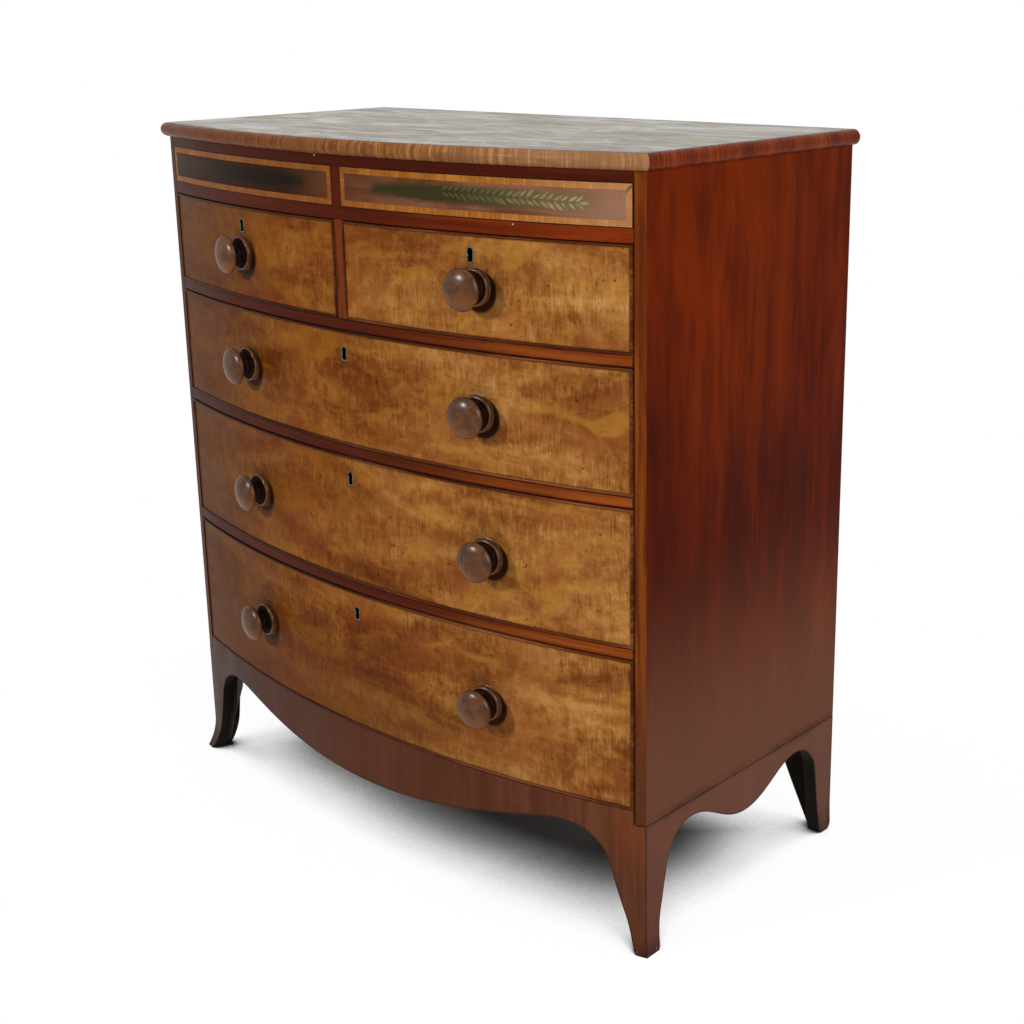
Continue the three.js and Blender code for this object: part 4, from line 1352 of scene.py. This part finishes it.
def corner_block(materials, node, side):
    """A three-sided block in the corner of a front foot, let half way into both of its faces,
    with its two sharp edges planed off."""
    half = APRON_THICKNESS / 2
    flat = 0.12 * half
    inner = HALF_WIDTH - APRON_THICKNESS
    corner_x = inner + half
    corner_y = bow_y(inner, APRON_THICKNESS) - half
    surface = Surface()
    grain = Shares()
    starts = []
    for up, share in CORNER_BLOCK_SHARES:
        leg = APRON_THICKNESS + share * CORNER_BLOCK_REACH
        plan = np.array([
            (corner_x, corner_y),
            (corner_x, corner_y + leg - flat),
            (corner_x - flat, corner_y + leg - flat),
            (corner_x - leg + flat, corner_y + flat),
            (corner_x - leg + flat, corner_y),
        ]) * (side, 1)
        level = np.full(len(plan), up * LEG_HEIGHT)
        start = surface.add_points(np.column_stack([plan, level]))
        grain.note(start, np.column_stack([level, plan]))
        starts.append(start)
    surface.add_bands(starts, len(plan), grain)
    for start in (starts[0], starts[-1]):
        surface.add_faces([[start + i for i in range(len(plan))]], grain)
    piece(f"{node}_block", surface, [materials["grime_and_shade"]], "case", [node])


def back_bracket(materials, node, side):
    inner = HALF_WIDTH - APRON_THICKNESS
    arch = bezier(BACK_ARCH_SHARES, HALF_WIDTH, LEG_HEIGHT)[::-1]
    heights = np.linspace(0, SPLAY_HEIGHT, 8)
    outer = np.stack([inner + splay_at(heights, BACK_SPLAY), heights], axis=1)
    reach = HALF_WIDTH - FOOT_FRONT_WIDTH
    loop = np.concatenate([arch, outer, [(inner, LEG_HEIGHT), (reach, LEG_HEIGHT)]])
    surface = Surface()
    add_plate(
        surface, [divided(loop, BRACKET_STEP)], lambda u, v, d: (side * u, BACK - d, v),
        APRON_THICKNESS, steps=SMALL_STEPS, seed=9 + side, rim=0,
    )
    piece(f"{node}_bracket", surface, [materials["grime_and_shade"]], "case", [node])


# Back

def back_boards(materials):
    low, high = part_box("back_panel")
    edges = np.linspace(low.x, high.x, BACK_BOARDS + 1)
    surface = Surface()
    nails = Surface()
    for number, (left, right) in enumerate(zip(edges, edges[1:])):
        loop = rectangle(left + BOARD_GAP / 2, right - BOARD_GAP / 2, low.z, high.z)
        add_plate(
            surface, [loop], lambda u, v, d: (u, high.y - d, v), high.y - low.y,
            arris=BOARD_ARRIS, steps=BOARD_STEPS, along="v", seed=number, rim=0,
        )
        for z in (low.z + NAIL_INSETS[0], high.z + NAIL_INSETS[1]):
            for x in (left + 0.2 * (right - left), left + 0.8 * (right - left)):
                add_turning(nails, NAIL_KNOTS, lambda a, b, h: (x + a, high.y + h, z + b), 10, 1)
    piece("back_boards", surface, [materials["pine"]], "case", ["back_panel"])
    piece("back_nails", nails, [materials["iron"]], "case")


# Drawers

def keyhole_loop(x, middle):
    """The keyhole's outline, anticlockwise from its lower left corner."""
    half = KEYHOLE_WIDTH / 2
    opening = math.asin(half / KEYHOLE_RADIUS)
    angles = np.linspace(opening - math.pi / 2, 3 * math.pi / 2 - opening, 20)
    head = KEYHOLE_RADIUS * np.stack([np.cos(angles), np.sin(angles)], axis=1)
    head += (0, KEYHOLE_HEIGHT / 2 - KEYHOLE_RADIUS)
    foot = np.array([(-half, -KEYHOLE_HEIGHT / 2), (half, -KEYHOLE_HEIGHT / 2)])
    return np.concatenate([foot, head]) + (x, middle)


def drawer_front(materials, name, body, seed):
    """A veneered leaf with its keyhole, a core behind it that the lock is let into, the bead
    round it and the lining of the keyhole."""
    node = f"{name}_front"
    low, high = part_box(node)
    outer = rectangle(low.x, high.x, low.z, high.z)
    middle = (low.x + high.x) / 2
    hole = keyhole_loop(middle, high.z - KEYHOLE_DROPS["short" if "short" in name else "long"])
    leaf = Surface()
    add_plate(
        leaf, [divided(inset(outer, BEAD_WIDTH)), hole[::-1]], on_bow, LOCK_FACE,
        arris=LEAF_ARRIS, steps=FRONT_STEPS, seed=seed, hidden_slot=1, rim=FACE_RIM,
    )
    finishes = [materials["front"], materials["dark"]]
    piece(f"{node}_veneer", leaf, finishes, body, [node])

    notch = high.z - LOCK_HEIGHT
    core = np.array([
        (low.x, low.z), (high.x, low.z), (high.x, high.z),
        (middle + LOCK_HALF, high.z), (middle + LOCK_HALF, notch),
        (middle - LOCK_HALF, notch), (middle - LOCK_HALF, high.z),
        (low.x, high.z),
    ])
    back = Surface()
    add_plate(
        back, [divided(core)], lambda u, v, d: on_bow(u, v, d + LOCK_FACE),
        FRONT_THICKNESS - LOCK_FACE, arris=CORE_ARRIS, seed=seed + 3, rim=0,
    )
    piece(f"{node}_core", back, [materials["core"]], body, [node])

    bead = Surface()
    radius = BEAD_WIDTH / 2
    profile = [
        (radius * (1 - math.cos(angle)), radius - BEAD_PROUD - radius * math.sin(angle))
        for angle in np.linspace(0, math.pi, BEAD_STEPS)
    ]
    profile = [(0.0, LOCK_FACE), *profile, (BEAD_WIDTH, LOCK_FACE)]
    add_frame(bead, divided(outer), profile, on_bow, seed)
    piece(f"{name}_cockbead", bead, [materials["bead"]], body, [node])

    lining = Surface()
    outside, within = LINING_SPAN
    profile = [(outside, LINING_DEPTH), (outside, -LINING_PROUD)]
    profile += [(within, -LINING_PROUD), (within, LINING_DEPTH)]
    add_frame(lining, hole, profile, on_bow)
    piece(f"{name}_keyhole_lining", lining, [materials["lining"]], body)


def knob(materials, node, x, seed):
    """A turned knob, square to the bow."""
    low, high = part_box(node)
    z = (low.z + high.z) / 2
    lean = math.asin(x / BOW_RADIUS)
    cos, sin = math.cos(lean), math.sin(lean)
    surface = Surface()
    add_turning(
        surface, KNOB_KNOTS,
        lambda a, b, h: (x + a * cos + h * sin, bow_y(x) + a * sin - h * cos, z + b),
        sides=64, count=3, seed=seed, hollow=KNOB_HOLLOW,
    )
    finishes = [materials["knob"], materials["knob_hollow"]]
    body = f"{node.partition('_knob')[0]}_drawer"
    piece(f"{node}_turned", surface, finishes, body, [node])


def knob_places():
    """How far to the right each knob stands."""
    place = (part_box("short_right_front")[0].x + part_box("upper_front")[1].x) / 2
    places = {"short_left_knob": -place, "short_right_knob": place + RIGHT_KNOB_SHIFT}
    for row, shift in (("upper", 0), ("middle", MIDDLE_KNOB_SHIFT), ("lower", 0)):
        places[f"{row}_knob_left"] = -place + shift
        places[f"{row}_knob_right"] = place + RIGHT_KNOB_SHIFT + shift
    return places


def drawers(materials):
    for number, name in enumerate(("short_left", "short_right", "upper", "middle", "lower")):
        drawer_front(materials, name, f"{name}_drawer", 2 * number + 1)
        for part in ("side_left", "side_right", "bottom"):
            dress(f"{name}_{part}", materials["pine_y"])
        dress(f"{name}_back", materials["pine_x"])
        dress(f"{name}_lock", materials["brass"])
    for number, (node, x) in enumerate(knob_places().items()):
        knob(materials, node, x, number * 0.37)


def dress(node, material):
    """A plain hidden board or a lock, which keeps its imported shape."""
    for slot in bpy.data.objects[node].material_slots:
        slot.material = material


# Room, light and camera

def room():
    """A pale floor, where what the camera sees fades from the chest's shadow to white."""
    floor = bpy.data.meshes.new("floor")
    turns = 2 * math.pi * np.arange(64) / 64
    ring = [(FLOOR_RADIUS * math.cos(t), FLOOR_RADIUS * math.sin(t), 0.0) for t in turns]
    floor.from_pydata(ring, [], [list(range(64))])
    f = Finish("white_floor")
    middle = (BACK + CORNER) / 2
    x, y, _ = f.axes(f.place())
    x = f.math("SUBTRACT", f.size(x), HALF_WIDTH)
    y = f.math("SUBTRACT", f.size(f.math("SUBTRACT", y, middle)), BACK - middle)
    x, y = (f.math("MAXIMUM", value, 0.0) for value in (x, y))
    away = f.math("SQRT", f.math("ADD", f.times(x, x), f.times(y, y)))
    plain = f.node("BsdfDiffuse", {"Color": FLOOR_GREY})
    bright = f.node("BsdfDiffuse", {"Color": FLOOR_WHITE})
    glow = f.node("Emission", {"Color": WHITE, "Strength": 1.0})
    open_share = f.node("AmbientOcclusion", {"Distance": SHADOW_REACH}).outputs["AO"]
    open_share = f.times(f.span(open_share, *SHADOW_SPAN), light_under(f))
    hollow = f.node("Emission", {"Color": WHITE, "Strength": open_share})
    near = f.node("MixShader", {0: LAMP_SHADOW, 1: hollow.outputs[0], 2: bright.outputs[0]})
    fade = f.span(away, *FLOOR_FADE)
    seen = f.node("MixShader", {0: fade, 1: near.outputs[0], 2: glow.outputs[0]})
    both = f.node("MixShader", {0: f.sight(), 1: plain.outputs[0], 2: seen.outputs[0]})
    f.feed(f.tree.nodes["Material Output"].inputs["Surface"], both.outputs[0])
    floor.materials.append(f.material)
    plane = bpy.data.objects.new("floor", floor)
    bpy.context.scene.collection.objects.link(plane)


def light_under(f):
    """1 on the open floor, falling off under the chest with the distance from its edges."""
    x, y, _ = f.axes(f.place())
    from_centre = f.length(f.scaled(f.place(), (1, 1, 0), (0, -BOW_CENTRE, 0)))
    behind_bow = f.math("SUBTRACT", BOW_RADIUS, from_centre)
    within_sides = f.math("SUBTRACT", HALF_WIDTH, f.size(x))
    before_back = f.math("SUBTRACT", BACK, y)
    nearest = f.times(f.math("MINIMUM", within_sides, before_back), UNDER_SIDE_WEIGHT)
    nearest = f.math("MINIMUM", nearest, behind_bow)
    return f.span(nearest, *UNDER_SPAN, 1.0, UNDER_DARKEST)


def world():
    """A faint even light, which the camera and mirrors see as white."""
    made = bpy.data.worlds.new("studio")
    made.use_nodes = True
    g = Graph(made.node_tree)
    ambient = g.tree.nodes["Background"]
    ambient.inputs["Color"].default_value = WHITE
    ambient.inputs["Strength"].default_value = AMBIENT
    white = g.node("Background", {"Color": WHITE, "Strength": 1.0})
    mixed = g.node("MixShader", {0: g.sight(), 1: ambient.outputs[0], 2: white.outputs[0]})
    g.feed(g.tree.nodes["World Output"].inputs["Surface"], mixed.outputs[0])
    bpy.context.scene.world = made


def lamp(name, place, aim, size, power):
    data = bpy.data.lights.new(name, "AREA")
    data.shape = "DISK"
    data.size = size
    data.energy = power
    made = bpy.data.objects.new(name, data)
    made.location = place
    made.rotation_euler = (Vector(aim) - Vector(place)).to_track_quat("-Z", "Y").to_euler()
    bpy.context.scene.collection.objects.link(made)


def make_camera():
    yaw, pitch, roll = (math.radians(angle) for angle in CAMERA_ANGLES)
    forward = Vector((
        -math.sin(yaw) * math.cos(pitch),
        math.cos(yaw) * math.cos(pitch),
        -math.sin(pitch),
    ))
    level = Vector((math.cos(yaw), math.sin(yaw), 0))
    upright = level.cross(forward)
    right = math.cos(roll) * level + math.sin(roll) * upright
    up = -math.sin(roll) * level + math.cos(roll) * upright
    data = bpy.data.cameras.new("camera")
    data.sensor_width = CAMERA_SENSOR
    data.lens = CAMERA_LENS
    data.shift_x, data.shift_y = CAMERA_SHIFT
    camera = bpy.data.objects.new("camera", data)
    columns = (right, up, -forward, Vector(CAMERA_PLACE))
    camera.matrix_world = Matrix((*zip(*columns), (0, 0, 0, 1)))
    bpy.context.scene.collection.objects.link(camera)
    bpy.context.scene.camera = camera


stuff = make_materials()
top_board(stuff)
sides(stuff)
rails(stuff)
divider(stuff)
frieze(stuff)
front_base(stuff)
side_bases(stuff)
back_boards(stuff)
drawers(stuff)
for board in ("bottom_board", "dustboard_upper", "dustboard_middle", "dustboard_lower"):
    dress(board, stuff["pine_x"])
bpy.context.scene.view_settings.view_transform = "Standard"
room()
world()
for lamp_name, settings in LAMPS.items():
    lamp(lamp_name, *settings)
make_camera()
